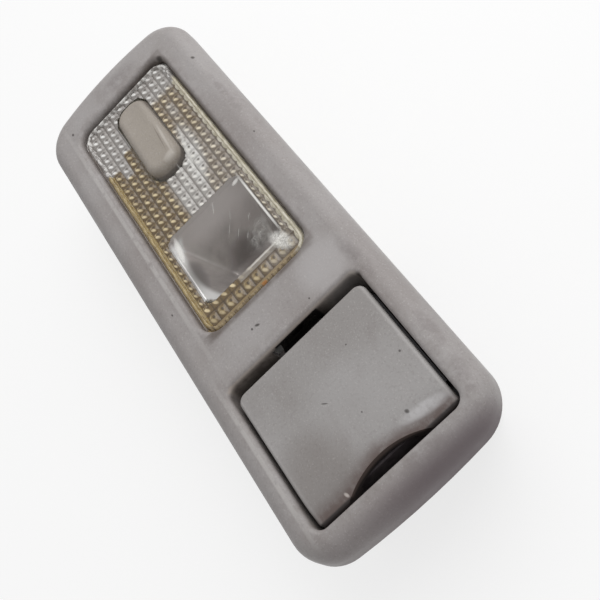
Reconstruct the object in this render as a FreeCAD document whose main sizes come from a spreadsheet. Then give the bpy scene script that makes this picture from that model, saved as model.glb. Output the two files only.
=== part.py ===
"""Rear door courtesy light with a rocker switch and a lidded ashtray in one moulded panel.

+X runs along the panel towards the ashtray, +Y across it, +Z out of the face.
The back of the unit lies on Z = 0. All lengths are in millimetres.
"""
import FreeCAD, Part
import os
import Sketcher

Vector = FreeCAD.Vector
doc = FreeCAD.newDocument("door_courtesy_light")

# Driving dimensions of the panel and of everything that fits in it
SIZES = {
    # Panel: a shallow moulded tray, open at the back
    "narrow_margin": 14.3,
    "aperture_length": 94.7,
    "bridge_width": 16.0,
    "pocket_length": 45.0,
    "wide_margin": 8.0,
    "panel_width": 58.0,
    "face_height": 8.0,
    "back_depth": 24.0,
    "skin": 2.5,
    "edge_round": 5.0,
    "narrow_corner": 12.0,
    "wide_corner": 11.0,
    "narrow_bow": 110.0,
    "wide_bow": 220.0,
    # Window frame for the lens, with a collar behind it
    "aperture_side": 10.7,
    "aperture_corner": 5.5,
    "aperture_round": 1.6,
    "collar_wall": 2.0,
    "collar_height": 4.5,
    # Pocket for the ashtray
    "pocket_side": 7.1,
    "pocket_corner": 3.0,
    "pocket_round": 1.3,
    "pocket_wall": 2.0,
    "rake_height": 15.0,
    "rake_run": 8.5,
    "catch_slot_width": 14.0,
    "catch_slot_height": 5.0,
    "catch_slot_drop": 2.0,
    # Fastening of the lamp base and of the panel
    "boss_radius": 3.2,
    "boss_height": 7.5,
    "pilot_radius": 1.25,
    "pilot_depth": 6.5,
    "narrow_boss_side": 10.0,
    "hook_side": -10.0,
    "hook_width": 10.0,
    "hook_wall": 2.0,
    "hook_barb": 1.6,
    "door_skin": 2.5,
    "clip_width": 14.0,
    "clip_thickness": 0.6,
    "clip_bow": 2.4,
    "clip_length": 11.0,
    # Lens
    "lens_gap": 0.6,
    "lens_drop": 1.5,
    "lens_plate": 2.0,
    "lens_skirt": 1.6,
    "lens_round": 1.0,
    "flange_thickness": 1.2,
    "bead_pitch": 3.2,
    "bead_height": 0.9,
    "bead_border": 0.6,
    "bead_groove": 2.0,
    "window_length": 28.3,
    "window_width": 28.0,
    "window_margin": 8.2,
    # Rocker switch
    "rocker_place": 22.2,
    "rocker_length": 35.0,
    "rocker_width": 11.8,
    "rocker_corner": 5.2,
    "rocker_crown": 2.6,
    "rocker_height": 4.85,
    "rocker_proud": 1.35,
    "rocker_tilt": 4.5,
    "rocker_end_gap": 1.0,
    "rocker_side_gap": 0.4,
    "pivot_depth": 6.6,
    "trunnion_radius": 1.5,
    "trunnion_reach": 2.6,
    "running_gap": 0.05,
    "stem_length": 8.0,
    "stem_width": 8.8,
    "barrel_radius": 3.2,
    "barrel_reach": 9.0,
    "barrel_bore": 2.0,
    "barrel_roof": 3.0,
    "plunger_gap": 0.1,
    "plunger_reach": 13.0,
    "plunger_length": 6.5,
    "switch_wire": 0.3,
    "switch_coils": 3.0,
    # Lamp base and its stamped strips
    "base_wall": 1.8,
    "base_corner": 4.0,
    "base_floor": 2.0,
    "floor_height": 5.0,
    "ear_thickness": 2.5,
    "ear_width": 12.0,
    "ear_bore": 1.6,
    "screw_head_radius": 2.8,
    "screw_head_height": 2.0,
    "screw_length": 9.0,
    "screw_radius": 1.2,
    "post_gap": 0.6,
    "post_wall": 2.2,
    "post_length": 12.0,
    "post_top": 2.2,
    "strip_thickness": 0.6,
    "strip_width": 2.8,
    "strip_pitch": 3.8,
    "strip_gap": 0.1,
    "blade_length": 9.0,
    "socket_wall": 1.2,
    "socket_width": 16.6,
    "socket_height": 10.4,
    "socket_depth": 11.0,
    "socket_drop": 1.2,
    "tab_width": 5.0,
    "tab_gap": 0.1,
    "contact_arm": 1.9,
    # Reflector and bulb
    "reflector_wall": 1.0,
    "reflector_margin": 4.0,
    "reflector_side": 2.9,
    "reflector_lip": 0.8,
    "reflector_foot": 3.0,
    "reflector_rake": 10.5,
    "reflector_draft": 6.5,
    "bulb_inset": 9.0,
    "bulb_height": 12.0,
    "bulb_radius": 4.5,
    "bulb_glass_length": 21.0,
    "bulb_length": 31.0,
    "cap_radius": 4.0,
    "cap_tip_radius": 2.4,
    "bulb_room": 0.9,
    "blade_span": 28.8,
    "blade_rise": 5.0,
    # Ashtray
    "bin_gap": 0.6,
    "bin_spring_gap": 1.4,
    "bin_wall": 1.6,
    "bin_floor": 1.8,
    "bin_corner": 2.4,
    "bin_seat_gap": 0.2,
    "bin_head_gap": 0.9,
    "bin_spring_side": 5.3,
    "bin_spring_width": 5.0,
    "bin_spring_height": 9.0,
    "bin_spring_thickness": 0.4,
    "ledge_height": 13.0,
    "ledge_depth": 1.5,
    "stubber_width": 7.0,
    "stubber_height": 3.0,
    "stubber_sheet": 0.6,
    "stubber_gap": 0.1,
    "finger_cut_width": 26.0,
    "finger_cut_depth": 7.0,
    "hinge_inset": 5.6,
    "hinge_drop": 6.2,
    "hinge_pin_radius": 1.2,
    "lug_radius": 3.5,
    "lug_clearance": 6.6,
    "ear_plate": 1.6,
    "ear_gap": 0.3,
    "ear_radius": 2.8,
    "spring_coil_radius": 2.0,
    "spring_wire": 0.35,
    "spring_coils": 6.0,
    "spring_pitch": 1.1,
    "spring_leg": 6.0,
    # Ashtray lid
    "lid_rear_gap": 3.4,
    "lid_front_gap": 1.2,
    "lid_side_gap": 1.0,
    "lid_drop": 0.8,
    "lid_thickness": 2.0,
    "lid_corner": 2.6,
    "lid_front_corner": 1.6,
    "lid_edge_round": 1.0,
    "lid_bend_run": 6.2,
    "lid_bend_drop": 1.6,
    "lid_bend_round": 20.0,
    "lid_lip": 4.8,
    "lip_gap": 0.5,
    "notch_width": 25.3,
    "notch_depth": 3.55,
}

sheet = doc.addObject("Spreadsheet::Sheet", "Sizes")
for row, (alias, value) in enumerate(SIZES.items(), start=1):
    sheet.set(f"A{row}", alias)
    sheet.set(f"B{row}", str(value))
    sheet.setAlias(f"B{row}", alias)
doc.recompute()

# Heights and stations that several pieces share, worked out from the sizes
PLACES = {
    "face": "Sizes.back_depth + Sizes.face_height",
    "under_skin": "face - Sizes.skin",
    "end": "(Sizes.narrow_margin + Sizes.aperture_length + Sizes.bridge_width"
           " + Sizes.pocket_length + Sizes.wide_margin) / 2",
    "panel_half": "Sizes.panel_width / 2",
    "aperture_low": "Sizes.narrow_margin - end",
    "aperture_high": "aperture_low + Sizes.aperture_length",
    "aperture_half": "panel_half - Sizes.aperture_side",
    "collar_end": "face - Sizes.collar_height",
    "pocket_low": "aperture_high + Sizes.bridge_width",
    "pocket_high": "pocket_low + Sizes.pocket_length",
    "pocket_half": "panel_half - Sizes.pocket_side",
    "ear_top": "under_skin - Sizes.boss_height",
    "ear_under": "ear_top - Sizes.ear_thickness",
    "wide_boss": "(aperture_high + Sizes.collar_wall + pocket_low - Sizes.pocket_wall) / 2",
    "narrow_boss": "(Sizes.skin - end + aperture_low - Sizes.collar_wall) / 2",
    "base_low": "aperture_low - Sizes.collar_wall",
    "base_high": "aperture_high + Sizes.collar_wall",
    "base_half": "aperture_half + Sizes.collar_wall",
    "flange_under": "collar_end - Sizes.flange_thickness",
    "lens_top": "face - Sizes.lens_drop",
    "lens_under": "lens_top - Sizes.lens_plate",
    "lens_low": "aperture_low + Sizes.lens_gap",
    "lens_high": "aperture_high - Sizes.lens_gap",
    "lens_half": "aperture_half - Sizes.lens_gap",
    "hollow_half": "lens_half - Sizes.lens_skirt",
    "bead_low": "lens_low + Sizes.lens_skirt + Sizes.bead_border",
    "bead_high": "lens_high - Sizes.lens_skirt - Sizes.bead_border",
    "bead_half": "hollow_half - Sizes.bead_border",
    "window_high": "aperture_high - Sizes.window_margin",
    "window_low": "window_high - Sizes.window_length",
    "rocker_x": "aperture_low + Sizes.rocker_place",
    "pivot_z": "lens_top - Sizes.pivot_depth",
    "cap_top": "Sizes.pivot_depth + Sizes.rocker_proud",
    "cap_under": "cap_top - Sizes.rocker_height",
    "trunnion_end": "Sizes.stem_width / 2 + Sizes.trunnion_reach",
    "post_near": "Sizes.stem_width / 2 + Sizes.post_gap",
    "post_far": "post_near + Sizes.post_wall",
    "strip_top": "Sizes.floor_height + Sizes.strip_thickness",
    "tab_top": "pivot_z - Sizes.plunger_reach - Sizes.tab_gap",
    "door_line": "-post_far + Sizes.strip_width / 2",
    "earth_line": "-post_far - Sizes.strip_gap - Sizes.strip_width / 2",
    "live_line": "earth_line - Sizes.strip_pitch",
    "socket_mid": "earth_line",
    "socket_low": "base_low - Sizes.socket_depth",
    "blade_tip": "base_low - Sizes.blade_length",
    "reflector_low": "window_low - Sizes.reflector_margin",
    "reflector_high": "lens_high - Sizes.lens_skirt - Sizes.reflector_lip",
    "reflector_half": "base_half - Sizes.base_wall - Sizes.reflector_side",
    "reflector_top": "flange_under - Sizes.reflector_lip",
    "reflector_foot_z": "Sizes.floor_height + Sizes.reflector_foot",
    "bulb_x": "reflector_high - Sizes.bulb_inset",
    "bulb_z": "Sizes.floor_height + Sizes.bulb_height",
    "blade_near": "Sizes.blade_span / 2 - Sizes.strip_thickness",
    "blade_far": "Sizes.blade_span / 2",
    "lid_top": "face - Sizes.lid_drop",
    "lid_under": "lid_top - Sizes.lid_thickness",
    "lid_low": "pocket_low + Sizes.lid_rear_gap",
    "lid_high": "pocket_high - Sizes.lid_front_gap",
    "lid_half": "pocket_half - Sizes.lid_side_gap",
    "bend_x": "lid_high - Sizes.lid_bend_run",
    "bend_z": "lid_top - Sizes.lid_bend_drop",
    "lip_low": "lid_top - Sizes.lid_lip",
    "hinge_x": "lid_low + Sizes.hinge_inset",
    "hinge_z": "lid_top - Sizes.hinge_drop",
    "bin_low": "pocket_low + Sizes.bin_gap",
    "bin_high": "pocket_high - Sizes.bin_spring_gap",
    "bin_half": "pocket_half - Sizes.bin_gap",
    "bin_under": "Sizes.pocket_wall + Sizes.bin_seat_gap",
    "bin_deck": "bin_under + Sizes.bin_floor",
    "bin_top": "lid_under - Sizes.bin_head_gap",
    "bin_inner": "bin_half - Sizes.bin_wall",
    "ledge_top": "bin_deck + Sizes.ledge_height",
    "stubber_x": "(hinge_x + bin_high) / 2",
    "lid_ear_out": "bin_inner - Sizes.ear_gap",
    "lid_ear_in": "lid_ear_out - Sizes.ear_plate",
    "notch_radius": "(Sizes.notch_width ^ 2 / 4 + Sizes.notch_depth ^ 2) / (2 * Sizes.notch_depth)",
    "notch_x": "lid_high - Sizes.notch_depth + notch_radius",
}

places = doc.addObject("Spreadsheet::Sheet", "Places")
for row, (alias, formula) in enumerate(PLACES.items(), start=1):
    places.set(f"A{row}", alias)
    places.set(f"B{row}", "=" + formula)
    places.setAlias(f"B{row}", alias)
    doc.recompute()

SUBPARTS = []


def value(formula):
    """The number that an expression gives with the present sizes."""
    result = places.evalExpression(formula)
    return float(getattr(result, "Value", result))


def at(name):
    """Expression for a shared height or station."""
    return "Places." + name


def size(name):
    """Expression for a driving dimension."""
    return "Sizes." + name


def new_body(label):
    """An empty body whose label names the sub-part's file."""
    made = doc.addObject("PartDesign::Body", label)
    made.Label = label
    SUBPARTS.append(made)
    return made


def new_sketch(body, name, plane, offset):
    """A sketch on one of the body's own origin planes, moved along its normal by an expression."""
    made = body.newObject("Sketcher::SketchObject", name)
    support = [f for f in body.Origin.OriginFeatures if f.Role == plane + "_Plane"][0]
    made.AttachmentSupport = (support, "")
    made.MapMode = "FlatFace"
    made.setExpression("AttachmentOffset.Base.z", offset)
    return made


def hold(sketch, kind, refs, name, formula):
    """A named dimensional constraint driven by an expression."""
    index = sketch.addConstraint(Sketcher.Constraint(kind, *refs, value(formula)))
    sketch.renameConstraint(index, name)
    sketch.setExpression("Constraints." + name, formula)


def draw_polygon(sketch, corners):
    """Closed outline of straight edges; each corner is a pair of expressions."""
    points = [Vector(value(u), value(v), 0) for u, v in corners]
    count = len(points)
    for i in range(count):
        sketch.addGeometry(Part.LineSegment(points[i], points[(i + 1) % count]), False)
    for i in range(count):
        sketch.addConstraint(Sketcher.Constraint("Coincident", i, 2, (i + 1) % count, 1))
    for i, (u, v) in enumerate(corners):
        hold(sketch, "DistanceX", (-1, 1, i, 1), f"across{i}", u)
        hold(sketch, "DistanceY", (-1, 1, i, 1), f"along{i}", v)


def draw_circle(sketch, u, v, radius):
    """Circle whose centre and radius are expressions."""
    centre = Vector(value(u), value(v), 0)
    sketch.addGeometry(Part.Circle(centre, Vector(0, 0, 1), value(radius)), False)
    hold(sketch, "Radius", (0,), "radius", radius)
    hold(sketch, "DistanceX", (-1, 1, 0, 3), "across", u)
    hold(sketch, "DistanceY", (-1, 1, 0, 3), "along", v)


def extrude(body, name, plane, low, high, draw, cut=False):
    """Pad or pocket of a drawn profile between two expressions along the plane's axis."""
    start = {True: high, False: low}[cut]
    if plane == "XZ":
        start = {True: f"-({low})", False: f"-({high})"}[cut]
    sketch = new_sketch(body, name + "Sketch", plane, start)
    draw(sketch)
    doc.recompute()
    before = body.Shape.Volume if body.Tip else 0.0
    feature = body.newObject("PartDesign::Pocket" if cut else "PartDesign::Pad", name)
    feature.Profile = sketch
    feature.setExpression("Length", f"({high}) - ({low})")
    doc.recompute()
    change = body.Shape.Volume - before
    if (change >= 0) if cut else (change <= 0):
        raise RuntimeError(f"{body.Label}.{name} changes the volume by {change}")
    return feature


def block(body, name, x, y, z, cut=False):
    """Straight-sided block between pairs of expressions."""
    corners = [(x[0], y[0]), (x[1], y[0]), (x[1], y[1]), (x[0], y[1])]
    return extrude(body, name, "XY", z[0], z[1], lambda s: draw_polygon(s, corners), cut)


def plate(body, name, plane, corners, low, high, cut=False):
    """Flat profile of straight edges, extruded."""
    return extrude(body, name, plane, low, high, lambda s: draw_polygon(s, corners), cut)


def rod(body, name, plane, centre, radius, low, high, cut=False):
    """Round rod or bore along the plane's axis."""
    return extrude(body, name, plane, low, high, lambda s: draw_circle(s, *centre, radius), cut)


def raked_profile(low, high, floor, top):
    """Corners of a room whose front wall leans in below the rake height, as moulded pockets do."""
    foot = f"{high} - {size('rake_run')} * ({size('rake_height')} - ({floor})) / {size('rake_height')}"
    return [(low, floor), (foot, floor), (high, size("rake_height")), (high, top), (low, top)]


def both_sides(half):
    """A pair of expressions, equal and opposite."""
    return f"-({half})", half


def round_edges(body, name, radius, test):
    """Fillet of the edges whose middle point and direction pass a test."""
    source = body.Tip
    chosen = []
    for index, edge in enumerate(source.Shape.Edges, start=1):
        middle = edge.valueAt((edge.FirstParameter + edge.LastParameter) / 2)
        along = edge.tangentAt((edge.FirstParameter + edge.LastParameter) / 2)
        if test(middle, along):
            chosen.append(f"Edge{index}")
    if not chosen:
        raise RuntimeError(f"{body.Label}.{name} found no edge")
    feature = body.newObject("PartDesign::Fillet", name)
    feature.Base = (source, chosen)
    feature.setExpression("Radius", radius)
    doc.recompute()
    return feature


def upright(x_range, y_half):
    """Test for vertical edges at the corners of a rectangle."""
    low, high, half = value(x_range[0]), value(x_range[1]), value(y_half)
    return lambda p, t: (abs(t.z) > 0.99 and abs(abs(p.y) - half) < 0.01
                         and min(abs(p.x - low), abs(p.x - high)) < 0.01)


def side_corner(x_range, y_half):
    """Test for the corner edges of a raked room: on its side planes, not level."""
    low, high, half = value(x_range[0]), value(x_range[1]), value(y_half)
    return lambda p, t: (abs(t.z) > 0.5 and abs(t.y) < 0.01 and abs(abs(p.y) - half) < 0.01
                         and low - 0.01 < p.x < high + 0.01)


def rim(height, x_range, y_half):
    """Test for level edges at one height, on or inside a rectangle."""
    low, high, half, z = value(x_range[0]), value(x_range[1]), value(y_half), value(height)
    return lambda p, t: (abs(p.z - z) < 0.01 and abs(t.z) < 0.01
                         and low - 0.01 < p.x < high + 0.01 and abs(p.y) < half + 0.01)


def revolve_profile(body, name, corners):
    """Solid of revolution about the body's Y axis; corners are (radius, station) expressions."""
    sketch = new_sketch(body, name + "Sketch", "XY", "0")
    draw_polygon(sketch, corners)
    feature = body.newObject("PartDesign::Revolution", name)
    feature.Profile = sketch
    feature.ReferenceAxis = (sketch, ["V_Axis"])
    feature.Angle = 360
    doc.recompute()
    return feature


def place(body, x, y, z):
    """Moves a finished body to a point given by expressions."""
    body.setExpression("Placement.Base.x", x)
    body.setExpression("Placement.Base.y", y)
    body.setExpression("Placement.Base.z", z)


def tilt(body, axis, angle):
    """Turns a finished body about its own origin by an expression in degrees."""
    body.Placement = FreeCAD.Placement(Vector(0, 0, 0), FreeCAD.Rotation(axis, value(angle)))
    body.setExpression("Placement.Rotation.Angle", angle)


def draw_panel(sketch, inset):
    """Panel outline: straight sides, bowed ends and rounded corners, moved in by an expression."""
    half = f"(Places.panel_half - ({inset}))"
    end = f"(Places.end - ({inset}))"
    ends = (("wide", 1), ("narrow", -1))
    radius = {n: f"(Sizes.{n}_corner - ({inset}))" for n, s in ends}
    bow = {n: f"(Sizes.{n}_bow - ({inset}))" for n, s in ends}
    corner = {}
    for n, s in ends:
        r, big = value(radius[n]), value(bow[n])
        hub = value(end) - big
        y = value(half) - r
        x = hub + ((big - r) ** 2 - y ** 2) ** 0.5
        corner[n] = (s * x, y, r, s * hub, big)
    up = Vector(0, 0, 1)

    def arc(x, y, r, first, last):
        return Part.Arc(Part.Circle(Vector(x, y, 0), up, r), first, last)

    wx, wy, wr, whub, wbig = corner["wide"]
    nx, ny, nr, nhub, nbig = corner["narrow"]
    lean = Vector(wx - whub, wy, 0).getAngle(Vector(1, 0, 0))
    back = Vector(nx - nhub, ny, 0).getAngle(Vector(-1, 0, 0))
    turn = FreeCAD.Units.Quantity("180 deg").getValueAs("rad").Value
    y = value(half)
    shapes = [
        Part.LineSegment(Vector(nx, -y, 0), Vector(wx, -y, 0)),
        arc(wx, -wy, wr, -turn / 2, -lean),
        arc(whub, 0, wbig, -lean, lean),
        arc(wx, wy, wr, lean, turn / 2),
        Part.LineSegment(Vector(wx, y, 0), Vector(nx, y, 0)),
        arc(nx, ny, nr, turn / 2, turn - back),
        arc(nhub, 0, nbig, turn - back, turn + back),
        arc(nx, -ny, nr, turn + back, 1.5 * turn),
    ]
    for shape in shapes:
        sketch.addGeometry(shape, False)
    for i in range(len(shapes)):
        sketch.addConstraint(Sketcher.Constraint("Tangent", i, 2, (i + 1) % len(shapes), 1))
    sketch.addConstraint(Sketcher.Constraint("Horizontal", 0))
    sketch.addConstraint(Sketcher.Constraint("Horizontal", 4))
    for hub in (2, 6):
        sketch.addConstraint(Sketcher.Constraint("PointOnObject", hub, 3, -1))
    for index, n in ((1, "wide"), (3, "wide"), (5, "narrow"), (7, "narrow")):
        hold(sketch, "Radius", (index,), f"corner{index}", radius[n])
    hold(sketch, "Radius", (2,), "wide_end", bow["wide"])
    hold(sketch, "Radius", (6,), "narrow_end", bow["narrow"])
    hold(sketch, "DistanceX", (2, 3, -1, 1), "wide_hub", f"{bow['wide']} - {end}")
    hold(sketch, "DistanceX", (-1, 1, 6, 3), "narrow_hub", f"{bow['narrow']} - {end}")
    hold(sketch, "DistanceY", (0, 1, -1, 1), "low_side", half)
    hold(sketch, "DistanceY", (-1, 1, 4, 1), "high_side", half)


# Bezel: grey moulded tray with the lens frame, the ashtray pocket, screw bosses and a panel hook
bezel = new_body("bezel")
extrude(bezel, "Tray", "XY", size("back_depth"), at("face"), lambda s: draw_panel(s, "0"))
round_edges(bezel, "EdgeRound", size("edge_round"),
            lambda p, t: abs(p.z - value(at("face"))) < 0.01 and abs(t.z) < 0.01)
extrude(bezel, "Hollow", "XY", size("back_depth"), at("under_skin"),
        lambda s: draw_panel(s, size("skin")), cut=True)
frame_x = (at("base_low"), at("base_high"))
block(bezel, "Collar", frame_x, both_sides(at("base_half")), (at("collar_end"), at("face")))
round_edges(bezel, "CollarCorners", size("base_corner"),
            upright(frame_x, at("base_half")))
pocket_x = (at("pocket_low"), at("pocket_high"))
wall_x = (f"{at('pocket_low')} - {size('pocket_wall')}", f"{at('pocket_high')} + {size('pocket_wall')}")
wall_half = f"{at('pocket_half')} + {size('pocket_wall')}"
plate(bezel, "PocketWall", "XZ", raked_profile(*wall_x, "0", at("under_skin")), *both_sides(wall_half))
round_edges(bezel, "PocketOuterCorners", size("pocket_corner"), side_corner(wall_x, wall_half))
plate(bezel, "Pocket", "XZ", raked_profile(*pocket_x, size("pocket_wall"), at("face")),
      *both_sides(at("pocket_half")), cut=True)
round_edges(bezel, "PocketCorners", size("pocket_corner"), side_corner(pocket_x, at("pocket_half")))
window_x = (at("aperture_low"), at("aperture_high"))
block(bezel, "Aperture", window_x, both_sides(at("aperture_half")), (at("collar_end"), at("face")), cut=True)
round_edges(bezel, "ApertureCorners", size("aperture_corner"), upright(window_x, at("aperture_half")))
round_edges(bezel, "ApertureRim", size("aperture_round"), rim(at("face"), window_x, at("aperture_half")))
round_edges(bezel, "PocketRim", size("pocket_round"), rim(at("face"), pocket_x, at("pocket_half")))
slot_top = f"{at('face')} - {size('catch_slot_drop')}"
block(bezel, "CatchSlot", (wall_x[0], f"{at('pocket_low')} + {size('bin_gap')}"),
      both_sides(size("catch_slot_width") + " / 2"),
      (f"{slot_top} - {size('catch_slot_height')}", slot_top), cut=True)
bosses = (("Narrow", at("narrow_boss"), size("narrow_boss_side")), ("Wide", at("wide_boss"), "0"))
for name, x, y in bosses:
    rod(bezel, name + "Boss", "XY", (x, y), size("boss_radius"), at("ear_top"), at("under_skin"))
    rod(bezel, name + "Pilot", "XY", (x, y), size("pilot_radius"), at("ear_top"),
        f"{at('ear_top')} + {size('pilot_depth')}", cut=True)
hook_x = f"{size('skin')} + {size('hook_barb')} - {at('end')}"
hook_root = f"{hook_x} + {size('hook_wall')}"
barb_top = f"{size('back_depth')} - {size('door_skin')}"
barb_low = f"{barb_top} - {size('hook_wall')}"
hook_tip = f"{hook_x} - {size('hook_barb')}"
hook_profile = [(hook_x, at("under_skin")), (hook_x, barb_top), (hook_tip, barb_top),
                (hook_x, barb_low), (hook_root, barb_low), (hook_root, at("under_skin"))]
plate(bezel, "Hook", "XZ", hook_profile, f"{size('hook_side')} - {size('hook_width')} / 2",
      f"{size('hook_side')} + {size('hook_width')} / 2")

# Lens: clear hat-shaped moulding with a flange, a beaded underside and a plain window
lens = new_body("lens")
lens_x = (at("lens_low"), at("lens_high"))
block(lens, "Flange", frame_x, both_sides(at("base_half")), (at("flange_under"), at("collar_end")))
round_edges(lens, "FlangeCorners", size("base_corner"), upright(frame_x, at("base_half")))
block(lens, "Crown", lens_x, both_sides(at("lens_half")), (at("collar_end"), at("lens_top")))
round_edges(lens, "CrownCorners", f"{size('aperture_corner')} - {size('lens_gap')}",
            upright(lens_x, at("lens_half")))
round_edges(lens, "CrownRim", size("lens_round"), rim(at("lens_top"), lens_x, at("lens_half")))
hollow_x = (f"{at('lens_low')} + {size('lens_skirt')}", f"{at('lens_high')} - {size('lens_skirt')}")
block(lens, "Hollow", hollow_x, both_sides(at("hollow_half")), (at("flange_under"), at("lens_under")),
      cut=True)
round_edges(lens, "HollowCorners", f"{size('aperture_corner')} - {size('lens_gap')} - {size('lens_skirt')}",
            upright(hollow_x, at("hollow_half")))
bead_x = (at("bead_low"), at("bead_high"))
bead_z = (f"{at('lens_under')} - {size('bead_height')}", at("lens_under"))
block(lens, "BeadPad", bead_x, both_sides(at("bead_half")), bead_z)
block(lens, "Window", (at("window_low"), at("window_high")), both_sides(size("window_width") + " / 2"),
      bead_z, cut=True)
hole_half = f"{size('rocker_width')} / 2 + {size('rocker_side_gap')}"
hole_long = f"({size('rocker_length')} / 2 + {size('rocker_end_gap')})"
hole_x = tuple(f"{at('rocker_x')} {s} {hole_long}" for s in "-+")
block(lens, "RockerHole", hole_x, both_sides(hole_half), (bead_z[0], at("lens_top")), cut=True)
round_edges(lens, "RockerHoleCorners", f"{size('rocker_corner')} + {size('rocker_side_gap')}",
            upright(hole_x, hole_half))
groove = f"{size('bead_groove')} / 2"
groove_roof = f"{at('lens_under')} - {size('bead_height')} / 10"
across = f"{at('bead_low')} + {size('bead_pitch')}"
beside = f"{size('bead_pitch')} - {at('bead_half')}"
row_count = f"floor(2 * {at('bead_half')} / {size('bead_pitch')} - 0.2)"
column_count = f"floor(({at('bead_high')} - {at('bead_low')}) / {size('bead_pitch')} - 0.2)"
for name, plane, middle, span, axis, count in (
        ("Column", "XZ", across, both_sides(at("bead_half")), "X_Axis", column_count),
        ("Row", "YZ", beside, bead_x, "Y_Axis", row_count)):
    profile = [(f"{middle} - {groove}", bead_z[0]), (f"{middle} + {groove}", bead_z[0]),
               (middle, groove_roof)]
    first = plate(lens, name + "Groove", plane, profile, *span, cut=True)
    pattern = lens.newObject("PartDesign::LinearPattern", name + "Grooves")
    pattern.Originals = [first]
    pattern.Direction = ([f for f in lens.Origin.OriginFeatures if f.Role == axis][0], [""])
    pattern.Mode = "Spacing"
    pattern.setExpression("Offset", size("bead_pitch"))
    pattern.setExpression("Occurrences", count)
    lens.Tip = pattern
    doc.recompute()

# Lamp base: moulded tub behind the lens, with screw ears, switch posts and a plug socket
base = new_body("lamp_base")
tub_half = f"{at('base_half')} - {size('base_wall')}"
tub_x = (f"{at('base_low')} + {size('base_wall')}", f"{at('base_high')} - {size('base_wall')}")
block(base, "Tub", frame_x, both_sides(at("base_half")), ("0", at("flange_under")))
round_edges(base, "TubCorners", size("base_corner"), upright(frame_x, at("base_half")))
ear_out = f"{size('boss_radius')} + {size('ear_thickness')} / 2"
ears = (("Narrow", (f"{at('narrow_boss')} - {ear_out}", tub_x[0]), size("narrow_boss_side")),
        ("Wide", (tub_x[1], f"{at('wide_boss')} + {ear_out}"), "0"))
for name, x, y in ears:
    block(base, name + "Ear", x, (f"{y} - {size('ear_width')} / 2", f"{y} + {size('ear_width')} / 2"),
          (at("ear_under"), at("ear_top")))
socket_half = f"({size('socket_width')} / 2 + {size('socket_wall')})"
socket_y = tuple(f"{at('socket_mid')} {s} {socket_half}" for s in "-+")
socket_z = ("0", f"{size('socket_drop')} + {size('socket_height')} + {size('socket_wall')}")
block(base, "Socket", (at("socket_low"), tub_x[0]), socket_y, socket_z)
block(base, "Room", tub_x, both_sides(tub_half), (size("floor_height"), at("flange_under")), cut=True)
block(base, "Underside", tub_x, both_sides(tub_half),
      ("0", f"{size('floor_height')} - {size('base_floor')}"), cut=True)
mouth_y = tuple(f"{at('socket_mid')} {s} {size('socket_width')} / 2" for s in "-+")
block(base, "SocketMouth", (at("socket_low"), at("base_low")), mouth_y,
      (size("socket_drop"), f"{size('socket_drop')} + {size('socket_height')}"), cut=True)
for name, x, y in bosses:
    rod(base, name + "EarBore", "XY", (x, y), size("ear_bore"), at("ear_under"), at("ear_top"), cut=True)
post_x = tuple(f"{at('rocker_x')} {s} {size('post_length')} / 2" for s in "-+")
post_z = (size("floor_height"), f"{at('pivot_z')} + {size('post_top')}")
rib_x = tuple(f"{at('rocker_x')} {s} {size('post_wall')} / 2" for s in "-+")
rib_z = (f"{at('strip_top')} + {size('post_wall')}", at("pivot_z"))
for name, y, rib_y in (("Low", (f"-{at('post_far')}", f"-{at('post_near')}"),
                        (f"-({tub_half})", f"-{at('post_far')}")),
                       ("High", (at("post_near"), at("post_far")), (at("post_far"), tub_half))):
    block(base, name + "Post", post_x, y, post_z)
    block(base, name + "Rib", rib_x, rib_y, rib_z)
rod(base, "Bearings", "XZ", (at("rocker_x"), at("pivot_z")),
    f"{size('trunnion_radius')} + {size('running_gap')}", *both_sides(at("post_far")), cut=True)
gate_half = f"{size('strip_width')} / 2 + {size('strip_gap')}"
gate_top = f"{at('strip_top')} + {size('strip_gap')}"
fan_end = f"{at('rocker_x')} + {size('contact_arm')} + {size('strip_width')} + {size('strip_gap')}"
cross_x = tuple(f"{at('rocker_x')} {s} ({gate_half})" for s in "-+")
for name, x, y in (("Low", (post_x[0], fan_end), (f"-{at('post_far')}", f"-{at('post_near')}")),
                   ("High", cross_x, (at("post_near"), at("post_far")))):
    block(base, name + "Gate", x, y, (size("floor_height"), gate_top), cut=True)
lines = (("Door", at("door_line")), ("Earth", at("earth_line")), ("Live", at("live_line")))
for name, y in lines:
    block(base, name + "Slit", (at("base_low"), tub_x[0]), (f"{y} - ({gate_half})", f"{y} + {gate_half}"),
          (f"{size('floor_height')} - {size('strip_gap')}", gate_top), cut=True)
foot_low = f"{at('reflector_low')} + {size('reflector_rake')}"
foot_half = f"{at('reflector_half')} - {size('reflector_draft')}"
foot_high = f"{at('reflector_high')} - {size('reflector_draft')} / 2"
block(base, "ReflectorFoot", (foot_low, foot_high), both_sides(foot_half),
      (size("floor_height"), at("reflector_foot_z")))

# Base screws: two self-tapping screws with round heads, up through the ears into the bosses
screws = doc.addObject("Part::MultiFuse", "base_screws")
screw_solids = []
for name, x, y in bosses:
    for part, radius, low, height in (
            ("Head", size("screw_head_radius"), f"{at('ear_under')} - {size('screw_head_height')}",
             size("screw_head_height")),
            ("Shank", size("screw_radius"), at("ear_under"), size("screw_length"))):
        solid = doc.addObject("Part::Cylinder", name + part)
        solid.setExpression("Radius", radius)
        solid.setExpression("Height", height)
        place(solid, x, y, low)
        screw_solids.append(solid)
screws.Shapes = screw_solids
SUBPARTS.append(screws)

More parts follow.
